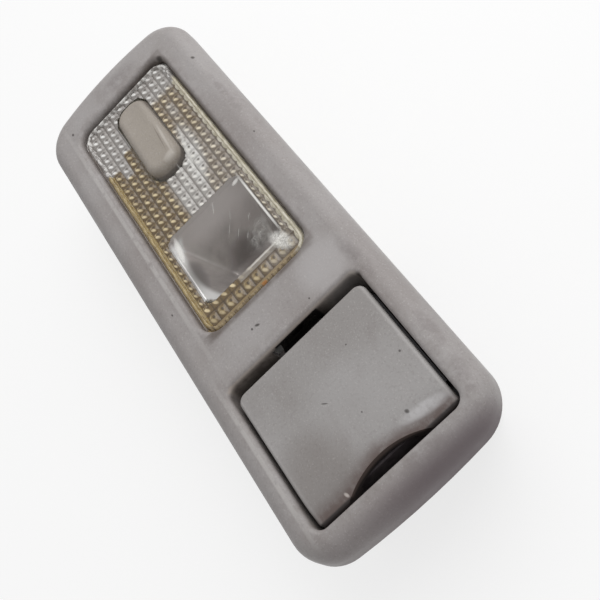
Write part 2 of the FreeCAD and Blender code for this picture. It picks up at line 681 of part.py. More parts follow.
# Panel clip: bowed spring-steel strip on the outer wall of the pocket
clip = new_body("panel_clip")
clip_in = wall_x[1]
clip_out = f"{clip_in} + {size('clip_thickness')}"
clip_top = f"{size('back_depth')} + {size('door_skin')}"
clip_low = f"{clip_top} - {size('clip_length')}"
bow_top = f"{clip_top} - {size('clip_length')} / 4"
bow_mid = f"{clip_top} - {size('clip_length')} / 2"
bow_low = f"{clip_low} + {size('clip_length')} / 8"
clip_profile = [(clip_in, clip_top), (clip_out, clip_top), (clip_out, bow_top),
                (f"{clip_in} + {size('clip_bow')}", bow_mid), (clip_out, bow_low), (clip_out, clip_low),
                (clip_in, clip_low), (clip_in, bow_low),
                (f"{clip_in} + {size('clip_bow')} - {size('clip_thickness')}", bow_mid), (clip_in, bow_top)]
plate(clip, "Strip", "XZ", clip_profile, *both_sides(size("clip_width") + " / 2"))

# Reflector: thin metallised dish under the plain window, raked on the side away from the bulb
reflector = new_body("reflector")


def dish_section(name, height, inset):
    """Rectangle of the dish at its mouth or its foot, moved in by a wall thickness."""
    mouth = name.endswith("Mouth")
    low = at("reflector_low") if mouth else foot_low
    high = at("reflector_high") if mouth else foot_high
    half = at("reflector_half") if mouth else foot_half
    made = new_sketch(reflector, name, "XY", height)
    x0, x1, y1 = f"{low} + {inset}", f"{high} - {inset}", f"{half} - {inset}"
    draw_polygon(made, [(x0, f"-({y1})"), (x1, f"-({y1})"), (x1, y1), (x0, y1)])
    return made


dish_wall = size("reflector_wall")
dish_floor = f"{at('reflector_foot_z')} + {dish_wall}"
for name, kind, inset, floor in (("Outer", "AdditiveLoft", "0", at("reflector_foot_z")),
                                 ("Inner", "SubtractiveLoft", dish_wall, dish_floor)):
    sections = [dish_section(name + "Foot", floor, inset),
                dish_section(name + "Mouth", at("reflector_top"), inset)]
    loft = reflector.newObject("PartDesign::" + kind, name + "Dish")
    loft.Profile = sections[0]
    loft.Sections = [sections[1]]
    loft.Ruled = True
    doc.recompute()
slot_room = f"{size('bulb_radius')} + {size('bulb_room')}"
bulb_slot_x = (f"{at('bulb_x')} - ({slot_room})", f"{at('bulb_x')} + {slot_room}")
slot_floor = f"{at('bulb_z')} - ({slot_room})"
bulb_slot = [(bulb_slot_x[0], slot_floor), (bulb_slot_x[1], slot_floor),
             (bulb_slot_x[1], at("reflector_top")), (bulb_slot_x[0], at("reflector_top"))]
plate(reflector, "BulbSlots", "XZ", bulb_slot, *both_sides(at("reflector_half")), cut=True)

# Festoon bulb: glass tube with a conical metal cap on each end, lying across the base
glass_half = f"{size('bulb_glass_length')} / 2"
cap_end = f"{size('bulb_length')} / 2"
shoulder = f"{glass_half} - {size('bulb_radius')} / 2"
glass = new_body("bulb_glass")
revolve_profile(glass, "Tube", [("0", f"-({glass_half})"), (size("cap_radius"), f"-({glass_half})"),
                                (size("bulb_radius"), f"-({shoulder})"), (size("bulb_radius"), shoulder),
                                (size("cap_radius"), glass_half), ("0", glass_half)])
place(glass, at("bulb_x"), "0", at("bulb_z"))
caps = doc.addObject("Part::MultiFuse", "bulb_caps")
cap_solids = []
for name, side, turn in (("HighCap", 1, -90), ("LowCap", -1, 90)):
    cone = doc.addObject("Part::Cone", name)
    cone.setExpression("Radius1", size("cap_radius"))
    cone.setExpression("Radius2", size("cap_tip_radius"))
    cone.setExpression("Height", f"{cap_end} - {glass_half}")
    cone.Placement = FreeCAD.Placement(Vector(0, 0, 0), FreeCAD.Rotation(Vector(1, 0, 0), turn))
    place(cone, at("bulb_x"), f"{side} * ({glass_half})", at("bulb_z"))
    cap_solids.append(cone)
caps.Shapes = cap_solids
SUBPARTS.append(caps)

# Stamped brass strips on the floor of the base, each folded up at its contacts
half_strip = f"{size('strip_width')} / 2"
floor_z = (size("floor_height"), at("strip_top"))
tab_half = both_sides(f"{size('tab_width')} / 2")
tab_wall = f"{size('strip_thickness')} / 2"
blade_x = tuple(f"{at('bulb_x')} {s} {size('bulb_radius')}" for s in "-+")
blade_top = f"{at('bulb_z')} + {size('blade_rise')}"
tip_drop = f"({size('blade_span')} / 2 - {size('strip_thickness')} - {glass_half})"
cone_run = f"({cap_end} - {glass_half})"
grip = (f"{size('cap_radius')} - ({size('cap_radius')} - {size('cap_tip_radius')}) * {tip_drop} / {cone_run}"
        f" + {size('running_gap')}")


def strip_run(body, name, x, line):
    """Straight run of a strip along the floor."""
    return block(body, name, x, (f"{line} - {half_strip}", f"{line} + {half_strip}"), floor_z)


def contact_tab(body, x):
    """Tab folded up from the floor to just under the plunger's path."""
    block(body, "Tab", (f"{x} - {tab_wall}", f"{x} + {tab_wall}"), tab_half,
          (size("floor_height"), at("tab_top")))


def bulb_blade(body, side):
    """Upright blade with a hole that grips one cap of the bulb."""
    edges = sorted([f"{side} * {at('blade_near')}", f"{side} * {at('blade_far')}"], key=value)
    block(body, "Blade", blade_x, edges, (size("floor_height"), blade_top))
    rod(body, "Grip", "XZ", (at("bulb_x"), at("bulb_z")), grip, *edges, cut=True)


live = new_body("live_strip")
strip_run(live, "Run", (at("blade_tip"), blade_x[1]), at("live_line"))
block(live, "Foot", blade_x, (f"-{at('blade_far')}", at("live_line")), floor_z)
bulb_blade(live, -1)
for label, line, sign in (("door_strip", at("door_line"), "-"), ("earth_strip", at("earth_line"), "+")):
    strip = new_body(label)
    pole = f"{at('rocker_x')} {sign} {size('contact_arm')}"
    jog = sorted([f"{pole} {sign} ({size('strip_width')} - {tab_wall})", f"{pole} - {sign}1 * {tab_wall}"],
                 key=value)
    strip_run(strip, "Run", (at("blade_tip"), jog[1]), line)
    block(strip, "Jog", jog, (f"{line} - {half_strip}", tab_half[1]), floor_z)
    contact_tab(strip, pole)
back = new_body("return_strip")
return_line = f"{at('blade_far')} - {half_strip}"
cross = both_sides(f"{size('contact_arm')} / 2")
block(back, "Cross", tuple(f"{at('rocker_x')} + {c}" for c in cross), (tab_half[0], at("blade_far")),
      floor_z)
strip_run(back, "Run", (f"{at('rocker_x')} + {cross[0]}", blade_x[1]), return_line)
contact_tab(back, at("rocker_x"))
bulb_blade(back, 1)

# Rocker: grey cap on a stem with two trunnions and a spring barrel, modelled about its pivot
rocker = new_body("switch_rocker")
cap_x = both_sides(size("rocker_length") + " / 2")
cap_y = both_sides(size("rocker_width") + " / 2")
block(rocker, "Cap", cap_x, cap_y, (at("cap_under"), at("cap_top")))
round_edges(rocker, "CapCorners", size("rocker_corner"), upright(cap_x, cap_y[1]))
round_edges(rocker, "CapCrown", size("rocker_crown"), rim(at("cap_top"), cap_x, cap_y[1]))
stem_x = both_sides(size("stem_length") + " / 2")
stem_y = both_sides(size("stem_width") + " / 2")
block(rocker, "Stem", stem_x, stem_y, (f"-{size('barrel_roof')}", at("cap_under")))
rod(rocker, "Trunnions", "XZ", ("0", "0"), size("trunnion_radius"), *both_sides(at("trunnion_end")))
barrel_z = (f"-{size('barrel_reach')}", f"-{size('barrel_roof')}")
rod(rocker, "Barrel", "XY", ("0", "0"), size("barrel_radius"), *barrel_z)
rod(rocker, "Bore", "XY", ("0", "0"), size("barrel_bore"), *barrel_z, cut=True)

# Contact plunger: brass rod with a round nose, pushed out of the barrel on to the tabs by a coil spring
plunger = new_body("contact_plunger")
plunger_radius = f"{size('barrel_bore')} - {size('plunger_gap')}"
plunger_top = f"{size('plunger_length')} - {size('plunger_reach')}"
rod(plunger, "Rod", "XY", ("0", "0"), plunger_radius, f"-{size('plunger_reach')}", plunger_top)
round_edges(plunger, "Nose", f"0.9 * ({plunger_radius})",
            lambda p, t: abs(p.z + value(size("plunger_reach"))) < 0.01)


def coil(label, radius, wire, pitch, turns):
    """Coil of round wire about its own Z axis."""
    spine = doc.addObject("Part::Helix", label + "_spine")
    spine.setExpression("Radius", radius)
    spine.setExpression("Pitch", pitch)
    spine.setExpression("Height", f"({pitch}) * ({turns})")
    section = doc.addObject("Part::RegularPolygon", label + "_section")
    section.Polygon = 6
    section.setExpression("Circumradius", wire)
    section.Placement = FreeCAD.Placement(Vector(0, 0, 0), FreeCAD.Rotation(Vector(1, 0, 0), 90))
    section.setExpression("Placement.Base.x", radius)
    made = doc.addObject("Part::Sweep", label)
    made.Sections = [section]
    made.Spine = (spine, ["Edge1"])
    made.Solid = True
    made.Frenet = True
    return made


switch_spring = coil("rocker_spring", f"{plunger_radius} - {size('switch_wire')} - {size('plunger_gap')}",
                     size("switch_wire"),
                     f"({size('plunger_reach')} - {size('plunger_length')} - {size('barrel_roof')}"
                     f" - 2 * {size('switch_wire')} - {size('plunger_gap')}) / {size('switch_coils')}",
                     size("switch_coils"))
SUBPARTS.append(switch_spring)
lean_back = Vector(0, -1, 0)
for piece, lift in ((rocker, "0"), (plunger, "0"),
                    (switch_spring, f"{plunger_top} + {size('switch_wire')} + {size('plunger_gap')} / 2")):
    tilt(piece, lean_back, size("rocker_tilt"))
    place(piece, f"{at('rocker_x')} - ({lift}) * sin({size('rocker_tilt')} * 1 deg)", "0",
          f"{at('pivot_z')} + ({lift}) * cos({size('rocker_tilt')} * 1 deg)")

# Ashtray bin: black open box that lifts out of the pocket, with two hinge lugs and stubber ledges
tray = new_body("ashtray_bin")
bin_x = (at("bin_low"), at("bin_high"))
inner_x = (f"{at('bin_low')} + {size('bin_wall')}", f"{at('bin_high')} - {size('bin_wall')}")
plate(tray, "Box", "XZ", raked_profile(*bin_x, at("bin_under"), at("bin_top")),
      *both_sides(at("bin_half")))
round_edges(tray, "BoxCorners", size("bin_corner"), side_corner(bin_x, at("bin_half")))
plate(tray, "Bowl", "XZ", raked_profile(*inner_x, at("bin_deck"), at("bin_top")),
      *both_sides(at("bin_inner")), cut=True)
swing = [(at("bin_low"), at("hinge_z")), (at("hinge_x"), at("hinge_z")), (at("hinge_x"), at("bin_top")),
         (at("bin_low"), at("bin_top"))]
plate(tray, "SwingRoom", "XZ", swing, *both_sides(at("bin_half")), cut=True)
swing_low = f"{at('hinge_z')} - {size('lug_clearance')}"
swing_x = f"{at('hinge_x')} - {size('lug_radius')}"
plate(tray, "SwingFoot", "XZ", [(at("bin_low"), swing_low), (swing_x, swing_low), (swing_x, at("hinge_z")),
                                (at("bin_low"), at("hinge_z"))], *both_sides(at("bin_half")), cut=True)
lip_room = f"{at('lip_low')} - {size('lip_gap')}"
lip_start = f"{at('bend_x')} - {size('lip_gap')}"
lip_profile = [(lip_start, lip_room), (at("bin_high"), lip_room), (at("bin_high"), at("bin_top")),
               (lip_start, at("bin_top"))]
plate(tray, "LipRoom", "XZ", lip_profile, *both_sides(at("bin_half")), cut=True)
block(tray, "FingerCut", (inner_x[1], at("bin_high")), both_sides(size("finger_cut_width") + " / 2"),
      (f"{lip_room} - {size('finger_cut_depth')}", lip_room), cut=True)
ledge_x = tuple(f"{at('stubber_x')} {s} {size('stubber_width')} / 2" for s in "-+")
ledge_in = f"{at('bin_inner')} - {size('ledge_depth')}"
for name, y in (("Low", (f"-{at('bin_inner')}", f"-({ledge_in})")), ("High", (ledge_in, at("bin_inner")))):
    block(tray, name + "Ledge", ledge_x, y, (at("bin_deck"), at("ledge_top")))
for name, y in (("Low", (f"-{at('bin_half')}", f"-{at('bin_inner')}")),
                ("High", (at("bin_inner"), at("bin_half")))):
    rod(tray, name + "Lug", "XZ", (at("hinge_x"), at("hinge_z")), size("lug_radius"), *y)
rod(tray, "PinBore", "XZ", (at("hinge_x"), at("hinge_z")),
    f"{size('hinge_pin_radius')} + {size('running_gap')} / 2", *both_sides(at("bin_half")), cut=True)

# Bin spring: bowed leaf on the front wall of the bin, which keeps it in the pocket
leaf = new_body("bin_spring")
leaf_low = f"{size('rake_height')} + {size('bin_seat_gap')}"
leaf_mid = f"{leaf_low} + {size('bin_spring_height')} / 2"
leaf_top = f"{leaf_low} + {size('bin_spring_height')}"
leaf_out = f"{at('bin_high')} + {size('bin_spring_gap')} - {size('bin_seat_gap')}"
leaf_in = f"{leaf_out} - {size('bin_spring_thickness')}"
leaf_foot = f"{at('bin_high')} + {size('bin_spring_thickness')}"
leaf_y = f"{at('bin_half')} - {size('bin_spring_side')}"
plate(leaf, "Leaf", "XZ", [(at("bin_high"), leaf_low), (leaf_foot, leaf_low), (leaf_out, leaf_mid),
                           (leaf_foot, leaf_top), (at("bin_high"), leaf_top), (leaf_in, leaf_mid)],
      f"{leaf_y} - {size('bin_spring_width')} / 2", f"{leaf_y} + {size('bin_spring_width')} / 2")

# Stubber: folded steel channel that rests on the two ledges of the bin
stubber = new_body("stubber")
stub_z = (at("ledge_top"), f"{at('ledge_top')} + {size('stubber_height')}")
stub_half = f"{at('bin_inner')} - {size('stubber_gap')}"
block(stubber, "Channel", ledge_x, both_sides(stub_half), stub_z)
block(stubber, "Inside",
      (f"{ledge_x[0]} + {size('stubber_sheet')}", f"{ledge_x[1]} - {size('stubber_sheet')}"),
      both_sides(stub_half), (stub_z[0], f"{stub_z[1]} - {size('stubber_sheet')}"), cut=True)

# Lid hinge pin and its torsion spring
pin = new_body("lid_hinge_pin")
rod(pin, "Pin", "XZ", (at("hinge_x"), at("hinge_z")), size("hinge_pin_radius"), *both_sides(at("bin_half")))
winding = coil("spring_winding", size("spring_coil_radius"), size("spring_wire"), size("spring_pitch"),
               size("spring_coils"))
winding.Placement = FreeCAD.Placement(Vector(0, 0, 0), FreeCAD.Rotation(Vector(1, 0, 0), -90))
winding_half = f"{size('spring_pitch')} * {size('spring_coils')} / 2"
place(winding, at("hinge_x"), f"-({winding_half})", at("hinge_z"))
lid_spring = doc.addObject("Part::MultiFuse", "lid_spring")
legs = [winding]
for name, y, turn in (("LowLeg", f"-({winding_half})", 180), ("HighLeg", winding_half, 180)):
    leg = doc.addObject("Part::Cylinder", name)
    leg.setExpression("Radius", size("spring_wire"))
    leg.setExpression("Height", size("spring_leg"))
    leg.Placement = FreeCAD.Placement(Vector(0, 0, 0), FreeCAD.Rotation(Vector(1, 0, 0), turn))
    place(leg, f"{at('hinge_x')} + {size('spring_coil_radius')}", y, at("hinge_z"))
    legs.append(leg)
lid_spring.Shapes = legs
SUBPARTS.append(lid_spring)

# Ashtray lid: flat plate bent down at its free edge, with a lip, a finger notch and two hinge ears
lid = new_body("ashtray_lid")
lid_y = both_sides(at("lid_half"))


def lid_shell(name, inset, cut):
    """Slab under the bent top surface, or the room inside it."""
    top, front = f"{at('lid_top')} - {inset}", f"{at('lid_high')} - {inset}"
    profile = [(at("lid_low"), at("lip_low")), (front, at("lip_low")), (front, f"{at('bend_z')} - {inset}"),
               (f"{at('bend_x')} - {inset}", top), (at("lid_low"), top)]
    plate(lid, name, "XZ", profile, *lid_y, cut=cut)


def lid_corner(x):
    """Test for the upright edges at one end of the lid."""
    return lambda p, t: (abs(t.z) > 0.99 and abs(p.x - value(at(x))) < 0.01
                         and abs(abs(p.y) - value(at("lid_half"))) < 0.01)


def lid_outer_edge(point, tangent):
    """Test for the edges round the top of the lid, from the hinge side to the bent front."""
    side = abs(point.y) > value(f"{at('lid_half')} - {size('lid_front_corner')}")
    back = point.x < value(f"{at('lid_low')} + {size('lid_corner')}")
    front = abs(point.x - value(at("lid_high"))) < 0.01
    above = point.z > value(at("bend_z")) - 0.01
    return above and abs(tangent.z) < 0.9 and (side or back or front)


lid_shell("Top", "0", False)
round_edges(lid, "Bend", size("lid_bend_round"),
            lambda p, t: abs(p.x - value(at("bend_x"))) < 0.01 and abs(p.z - value(at("lid_top"))) < 0.01)
lid_shell("Under", size("lid_thickness"), True)
round_edges(lid, "FrontCorners", size("lid_front_corner"), lid_corner("lid_high"))
round_edges(lid, "RearCorners", size("lid_corner"), lid_corner("lid_low"))
round_edges(lid, "EdgeRound", size("lid_edge_round"), lid_outer_edge)
rod(lid, "Notch", "XY", (at("notch_x"), "0"), at("notch_radius"), at("lip_low"), at("lid_top"), cut=True)
for name, y in (("Low", (f"-{at('lid_ear_out')}", f"-{at('lid_ear_in')}")),
                ("High", (at("lid_ear_in"), at("lid_ear_out")))):
    ear = [(f"{at('hinge_x')} - {size('ear_radius')}", at("hinge_z")),
           (f"{at('hinge_x')} + {size('ear_radius')}", at("hinge_z")),
           (f"{at('hinge_x')} + {size('ear_radius')}", at("lid_under")),
           (f"{at('hinge_x')} - {size('ear_radius')}", at("lid_under"))]
    plate(lid, name + "Ear", "XZ", ear, *y)
    rod(lid, name + "Knuckle", "XZ", (at("hinge_x"), at("hinge_z")), size("ear_radius"), *y)
rod(lid, "EarBores", "XZ", (at("hinge_x"), at("hinge_z")),
    f"{size('hinge_pin_radius')} + {size('running_gap')}", *both_sides(at("lid_ear_out")), cut=True)

# Test of every object and shape, then one file for each sub-part
doc.recompute()
failed = [o.Label for o in doc.Objects if {"Invalid", "Error"} & set(o.State)]
failed += [s.Label for s in SUBPARTS if s.Shape.isNull() or not s.Shape.isValid()]
if failed:
    raise RuntimeError("failed objects: " + ", ".join(failed))
os.makedirs("parts", exist_ok=True)
for subpart in SUBPARTS:
    subpart.Shape.exportStep(f"parts/{subpart.Label}.step")
    print(subpart.Label, len(subpart.Shape.Solids), round(subpart.Shape.Volume, 2))
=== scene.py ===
"""Looks of a used rear door courtesy light: grey panel, yellowed beaded lens, rocker and ashtray lid.

The row frame is in metres: +X towards the ashtray, +Y across, +Z out of the face.
Lengths in the comments and in the shaders are in millimetres.
"""
import math

import bpy
import numpy as np
from mathutils import Matrix, Vector


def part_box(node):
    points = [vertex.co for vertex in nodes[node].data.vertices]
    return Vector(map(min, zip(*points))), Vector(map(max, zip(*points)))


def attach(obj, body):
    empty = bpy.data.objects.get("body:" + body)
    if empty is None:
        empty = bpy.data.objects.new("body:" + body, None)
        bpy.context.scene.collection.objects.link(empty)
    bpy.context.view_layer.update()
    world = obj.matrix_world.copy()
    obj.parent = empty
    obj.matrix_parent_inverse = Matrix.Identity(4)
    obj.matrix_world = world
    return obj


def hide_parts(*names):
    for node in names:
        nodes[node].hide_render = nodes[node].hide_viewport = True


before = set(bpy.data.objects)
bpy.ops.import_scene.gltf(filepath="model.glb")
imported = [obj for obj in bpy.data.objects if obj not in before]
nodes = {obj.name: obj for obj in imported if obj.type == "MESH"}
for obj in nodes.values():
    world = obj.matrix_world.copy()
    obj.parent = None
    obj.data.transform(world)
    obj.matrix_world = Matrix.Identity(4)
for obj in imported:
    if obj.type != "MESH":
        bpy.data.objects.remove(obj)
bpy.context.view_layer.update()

# Bezel. One injection moulding in warm grey polypropylene with a fine grain, clipped into the door card.
# Years of use have rubbed its rims pale, and left grime in the recesses and specks on the face. Painted
# shade darkens its recess walls, wide end and -Y flank, and painted highlights light its -Y rims.
MM = 0.001


def tint(red, green, blue):
    """Linear colour of a shade that is given as it looks, 0 to 255 a channel."""
    shade = np.array((red, green, blue)) / 255
    linear = np.where(shade < 0.04045, shade / 12.92, ((shade + 0.055) / 1.055) ** 2.4)
    return (*linear.tolist(), 1.0)


class Wire:
    """A value in a shader tree. Arithmetic on wires and numbers adds the math nodes for it."""

    def __init__(self, tree, socket):
        self.tree = tree
        self.socket = socket

    def node(self, kind, inputs=(), out=0, **settings):
        """Adds any node: its settings first, then its named or numbered inputs, and gives one output."""
        made = self.tree.nodes.new(kind)
        for name, value in settings.items():
            setattr(made, name, value)
        for key, value in dict(inputs).items():
            if isinstance(value, Wire):
                self.tree.links.new(value.socket, made.inputs[key])
            else:
                made.inputs[key].default_value = value
        return Wire(self.tree, made.outputs[out])

    def math(self, operation, *values):
        return self.node("ShaderNodeMath", dict(enumerate(values)), operation=operation)

    def __add__(self, other):
        return self.math("ADD", self, other)

    def __sub__(self, other):
        return self.math("SUBTRACT", self, other)

    def __rsub__(self, other):
        return self.math("SUBTRACT", other, self)

    def __mul__(self, other):
        return self.math("MULTIPLY", self, other)

    def __truediv__(self, other):
        return self.math("DIVIDE", self, other)

    __radd__ = __add__
    __rmul__ = __mul__

    def __abs__(self):
        return self.math("ABSOLUTE", self)

    def at_least(self, other):
        return self.math("MAXIMUM", self, other)

    def at_most(self, other):
        return self.math("MINIMUM", self, other)

    def rise(self, start, end):
        """Smooth step from 0 at start to 1 at end, which may run downwards."""
        return self.node("ShaderNodeMapRange", {0: self, 1: start, 2: end, 3: 0.0, 4: 1.0},
                         interpolation_type="SMOOTHSTEP")

    def mix(self, first, second):
        """Colour between two colours or wires, by this factor."""
        return self.node("ShaderNodeMix", {0: self, 6: first, 7: second}, out=2, data_type="RGBA")

    def parts(self):
        """The three numbers of a vector."""
        return tuple(self.node("ShaderNodeSeparateXYZ", {0: self}, out=i) for i in range(3))


def oval(dx, dy, length, width, turn):
    """Squared distance of a point from an oval's middle, 1 on the oval, with its half axes and its turn."""
    cosine, sine = math.cos(math.radians(turn)), math.sin(math.radians(turn))
    along = (dx * cosine + dy * sine) / length
    across = (dy * cosine - dx * sine) / width
    return along * along + across * across


class Finish:
    """A material with its coordinates in millimetres of the row frame, and a tone painted in layers."""

    def __init__(self, name, **constants):
        self.material = bpy.data.materials.new(name)
        self.material.use_nodes = True
        self.tree = self.material.node_tree
        self.shader = self.tree.nodes["Principled BSDF"]
        for socket, value in constants.items():
            self.shader.inputs[socket.replace("_", " ")].default_value = value
        start = Wire(self.tree, self.tree.nodes.new("ShaderNodeTexCoord").outputs["Object"])
        self.point = start.node("ShaderNodeVectorMath", {0: start, 3: 1 / MM}, operation="SCALE")
        self.x, self.y, self.z = self.point.parts()
        self.tone = None

    def noise(self, scale, detail=2.0, roughness=0.5, stretch=(1, 1, 1), turn=0.0):
        """Cloudy noise of the given frequency per millimetre, stretched after a turn about Z."""
        place = self.point.node("ShaderNodeMapping",
                                {0: self.point, 2: (0, 0, math.radians(turn)), 3: stretch},
                                vector_type="TEXTURE" if turn else "POINT")
        return place.node("ShaderNodeTexNoise", {"Vector": place, "Scale": scale, "Detail": detail,
                                                 "Roughness": roughness})

    def spot(self, x, y, length, width, turn=0.0):
        """Soft oval on the face, 1 at its middle and 0 at its half length and half width."""
        return oval(self.x - x, self.y - y, length, width, turn).rise(1.0, 0.0)

    def band(self, wire, middle, half):
        """1 where a coordinate is near the middle, fading to 0 at half on either side."""
        return abs(wire - middle).rise(half, half * 0.3)

    def clouds(self, low, high, scale, detail=2.0):
        """Starts the tone as slow clouds between two shades."""
        self.tone = self.noise(scale, detail).rise(0.3, 0.7).mix(low, high)

    def paint(self, mask, colour):
        """Lays a colour over the tone by a mask."""
        self.tone = mask.mix(self.tone, colour)

    def stain(self, colour, scale, share):
        """Lays ragged patches of dirt or tarnish over the tone."""
        self.paint(self.noise(scale, 4.0, 0.7).rise(0.55, 0.75) * share, colour)

    def feed(self, socket, wire):
        """Drives a socket of the shader by a wire."""
        self.tree.links.new(wire.socket, self.shader.inputs[socket])

    def bump(self, height, strength, distance):
        """Relief from a height wire, in millimetres of depth."""
        self.feed("Normal", height.node("ShaderNodeBump", {"Height": height, "Strength": strength,
                                                           "Distance": distance * MM}))

    def wear(self, *pieces):
        """Puts the painted material on CAD nodes or pieces."""
        if self.tone:
            self.feed("Base Color", self.tone)
        for piece in pieces:
            piece.data.materials.clear()
            piece.data.materials.append(self.material)


def moulded_grey(name, low, high):
    """Grained plastic: slow clouds between two tones, a dark and a pale grain, dark rubs and pale flecks."""
    made = Finish(name, Roughness=0.5, Specular_IOR_Level=0.4)
    made.clouds(low, high, 0.03, 3.0)
    grain = made.noise(1.5, 2.0)
    rubs = made.noise(0.16, 4.0, 0.6, (0.5, 1, 1)).rise(0.54, 0.74)
    flecks = made.noise(1.7, 0.0).rise(0.76, 0.84)
    pale_grain = made.noise(2.3, 1.0).rise(0.58, 0.78)
    made.paint(grain.rise(0.5, 0.75) * 0.26, tint(118, 111, 109))
    made.paint(rubs * 0.25, tint(124, 116, 114))
    made.paint(flecks * 0.3, tint(186, 182, 179))
    made.paint(pale_grain * 0.34, tint(192, 188, 186))
    made.feed("Roughness", made.noise(0.12, 3.0).rise(0.3, 0.7) * 0.16 + 0.42)
    made.bump(grain, 0.25, 0.1)
    return made


def beyond(made, middle, half_x, half_y):
    """Distance on the face outside a rectangle on the X axis, negative inside."""
    return (abs(made.x - middle) - half_x).at_least(abs(made.y) - half_y)


face_top = 32.0
aperture = {"middle": -27.35, "half_x": 47.35, "half_y": 18.3}
pocket = {"middle": 58.5, "half_x": 22.5, "half_y": 21.9}
slot_y = 1.5
grime_and_shade, rubbed_and_lit = tint(96, 87, 81), tint(196, 193, 190)
grey = moulded_grey("grey_trim", tint(148, 142, 140), tint(162, 158, 157))
dirt = grey.noise(0.35, 4.0, 0.65)
patchy = dirt.rise(0.2, 0.6) * 0.3
frame_edge, pocket_edge = beyond(grey, **aperture), beyond(grey, **pocket)

# Grime in the two recesses, and painted shade down their walls, heavier on the +Y side, whose walls face
# away from the light, and at the ashtray end of the lens
deep = grey.z.rise(face_top, face_top - 2.0)
shaded_side = grey.y.rise(-6, 14) * 0.35 + 0.5
for edge in (frame_edge, pocket_edge):
    grey.paint(edge.rise(5.0, 0.8) * dirt.rise(0.35, 0.7) * 0.35, tint(116, 107, 103))
    grey.paint(edge.rise(1.5, 0.0) * deep * shaded_side * (patchy + 0.7), grime_and_shade)
# Painted shade along the +Y edge of the lens recess, where the wall faces away from the light
grey.paint(frame_edge.rise(1.5, 0.4) * grey.y.rise(8, 16) * 0.45, tint(98, 89, 84))
# Painted shade on the face past the ashtray end of the lens, standing for a recess slope, with grime
lens_end_shade = grey.x.rise(22.8, 21.4) * grey.x.rise(19.0, 19.8) * abs(grey.y).rise(19.6, 17.0)
grey.paint(lens_end_shade * (patchy + 0.45), tint(88, 78, 71))

# Rims of both recesses along the -Y side, rubbed pale and with a painted highlight where they catch the
# light
worn_and_lit = dirt.rise(0.3, 0.55) * 0.5
lens_rim = grey.band(grey.y, -20.2, 0.9) * grey.band(grey.x, -27, 70)
pocket_rim = grey.band(grey.y, -23.4, 0.8) * grey.band(grey.x, 58, 32)
for rim in (lens_rim, pocket_rim):
    grey.paint(rim * worn_and_lit, rubbed_and_lit)

# Rear wall of the pocket: painted light at its top, painted shade below and round the slot, and painted
# shade in the black slot behind the lid
rear_wall = grey.x.rise(35.5, 35.95) * grey.x.rise(37.5, 36.5) * abs(grey.y).rise(22.6, 22.0)
rear_wall = rear_wall * grey.z.rise(face_top, 31.4) * grey.z.rise(24, 26)
from_slot = abs(grey.y - slot_y)
grey.paint(rear_wall * 0.9, tint(176, 166, 158))
grey.paint(rear_wall * grey.z.rise(31.2, 29.4) * (dirt.rise(0.3, 0.6) * 0.3 + 0.5), tint(82, 74, 70))
grey.paint(rear_wall * from_slot.rise(10.0, 6.5) * grey.z.rise(31.0, 29.5) * 0.8, tint(60, 54, 51))
slot_shade = grey.x.rise(36.6, 36.2) * grey.x.rise(24.0, 26.0) * grey.z.rise(30.9, 30.5)
grey.paint(slot_shade * from_slot.rise(7.3, 6.7), tint(22, 20, 19))

# Painted shade on the wide end and the -Y flank, and a painted pale patch of light on the bridge between the
# recesses
wide_end_shade = grey.x.rise(82.0, 88.0) * (grey.y.rise(-22, 8) * 0.6 + 0.25)
bridge_light, flank_shade = grey.spot(29, 17, 11, 10), grey.y.rise(-25.5, -28.5)
grey.paint(wide_end_shade, tint(106, 95, 98))
grey.paint(bridge_light * 0.5, tint(184, 181, 181))
grey.paint(flank_shade * 0.25, tint(128, 121, 120))

# Smudges, specks and one chip, each at X, Y with its half length, half width and turn
for smudge in ((62, 26.4, 8, 1.7, 0), (76, 25.6, 7, 2.0, -10), (84.5, 8, 3, 9, 0), (33, 24, 9, 2.5, 6),
               (-40, 26, 14, 1.5, 0), (-80, 4, 4, 9, 0)):
    grey.paint(grey.spot(*smudge) * dirt.rise(0.3, 0.6) * 0.5, tint(122, 115, 114))
for speck in ((28.2, -5.4, 1.0, 0.5, 60), (28.0, -7.1, 0.5, 0.4, 0), (-61.0, 25.6, 1.0, 0.6, 20),
              (-77.0, -18.5, 0.8, 0.5, 0), (-72.4, 17.6, 1.6, 1.0, 30), (38.5, 21.5, 1.4, 1.0, 0),
              (-20.5, 25.2, 0.5, 0.3, 0), (6.0, -22.7, 0.6, 0.3, 10), (33.5, 9.0, 0.4, 0.3, 0)):
    grey.paint(grey.spot(*speck) * 0.85, tint(52, 46, 42))
chip = (86.2, 26.2, 1.8, 0.5, -55)
grey.paint(grey.spot(*chip), tint(226, 222, 224))
grey.wear(nodes["bezel"])

# Lamp base. White heat-resistant moulding, screwed to the back of the bezel behind the lens.
# Left as moulded, a little yellowed by the bulb, with painted shade on its end where the lid's slot shows
# it.
white = Finish("lamp_body", Roughness=0.55)
white.clouds(tint(200, 196, 184), tint(216, 212, 202), 0.2)
white.stain(tint(150, 140, 120), 0.5, 0.4)
shade_behind_slot = white.x.rise(19, 21) * white.z.rise(2, 6) * abs(white.y - slot_y).rise(15, 12)
white.paint(shade_behind_slot * 0.95, tint(30, 27, 25))
white.bump(white.noise(1.2), 0.2, 0.1)
white.wear(nodes["lamp_base"])

# Base screws and hinge pin. Two zinc-plated self-tapping screws through the ears of the base,
# and the plain pin that the lid turns on. The plating is dulled.
zinc = Finish("screw_steel", Metallic=1.0, Roughness=0.35)
zinc.clouds(tint(170, 170, 166), tint(196, 195, 190), 0.6, 3.0)
zinc.wear(nodes["base_screws"], nodes["lid_hinge_pin"])

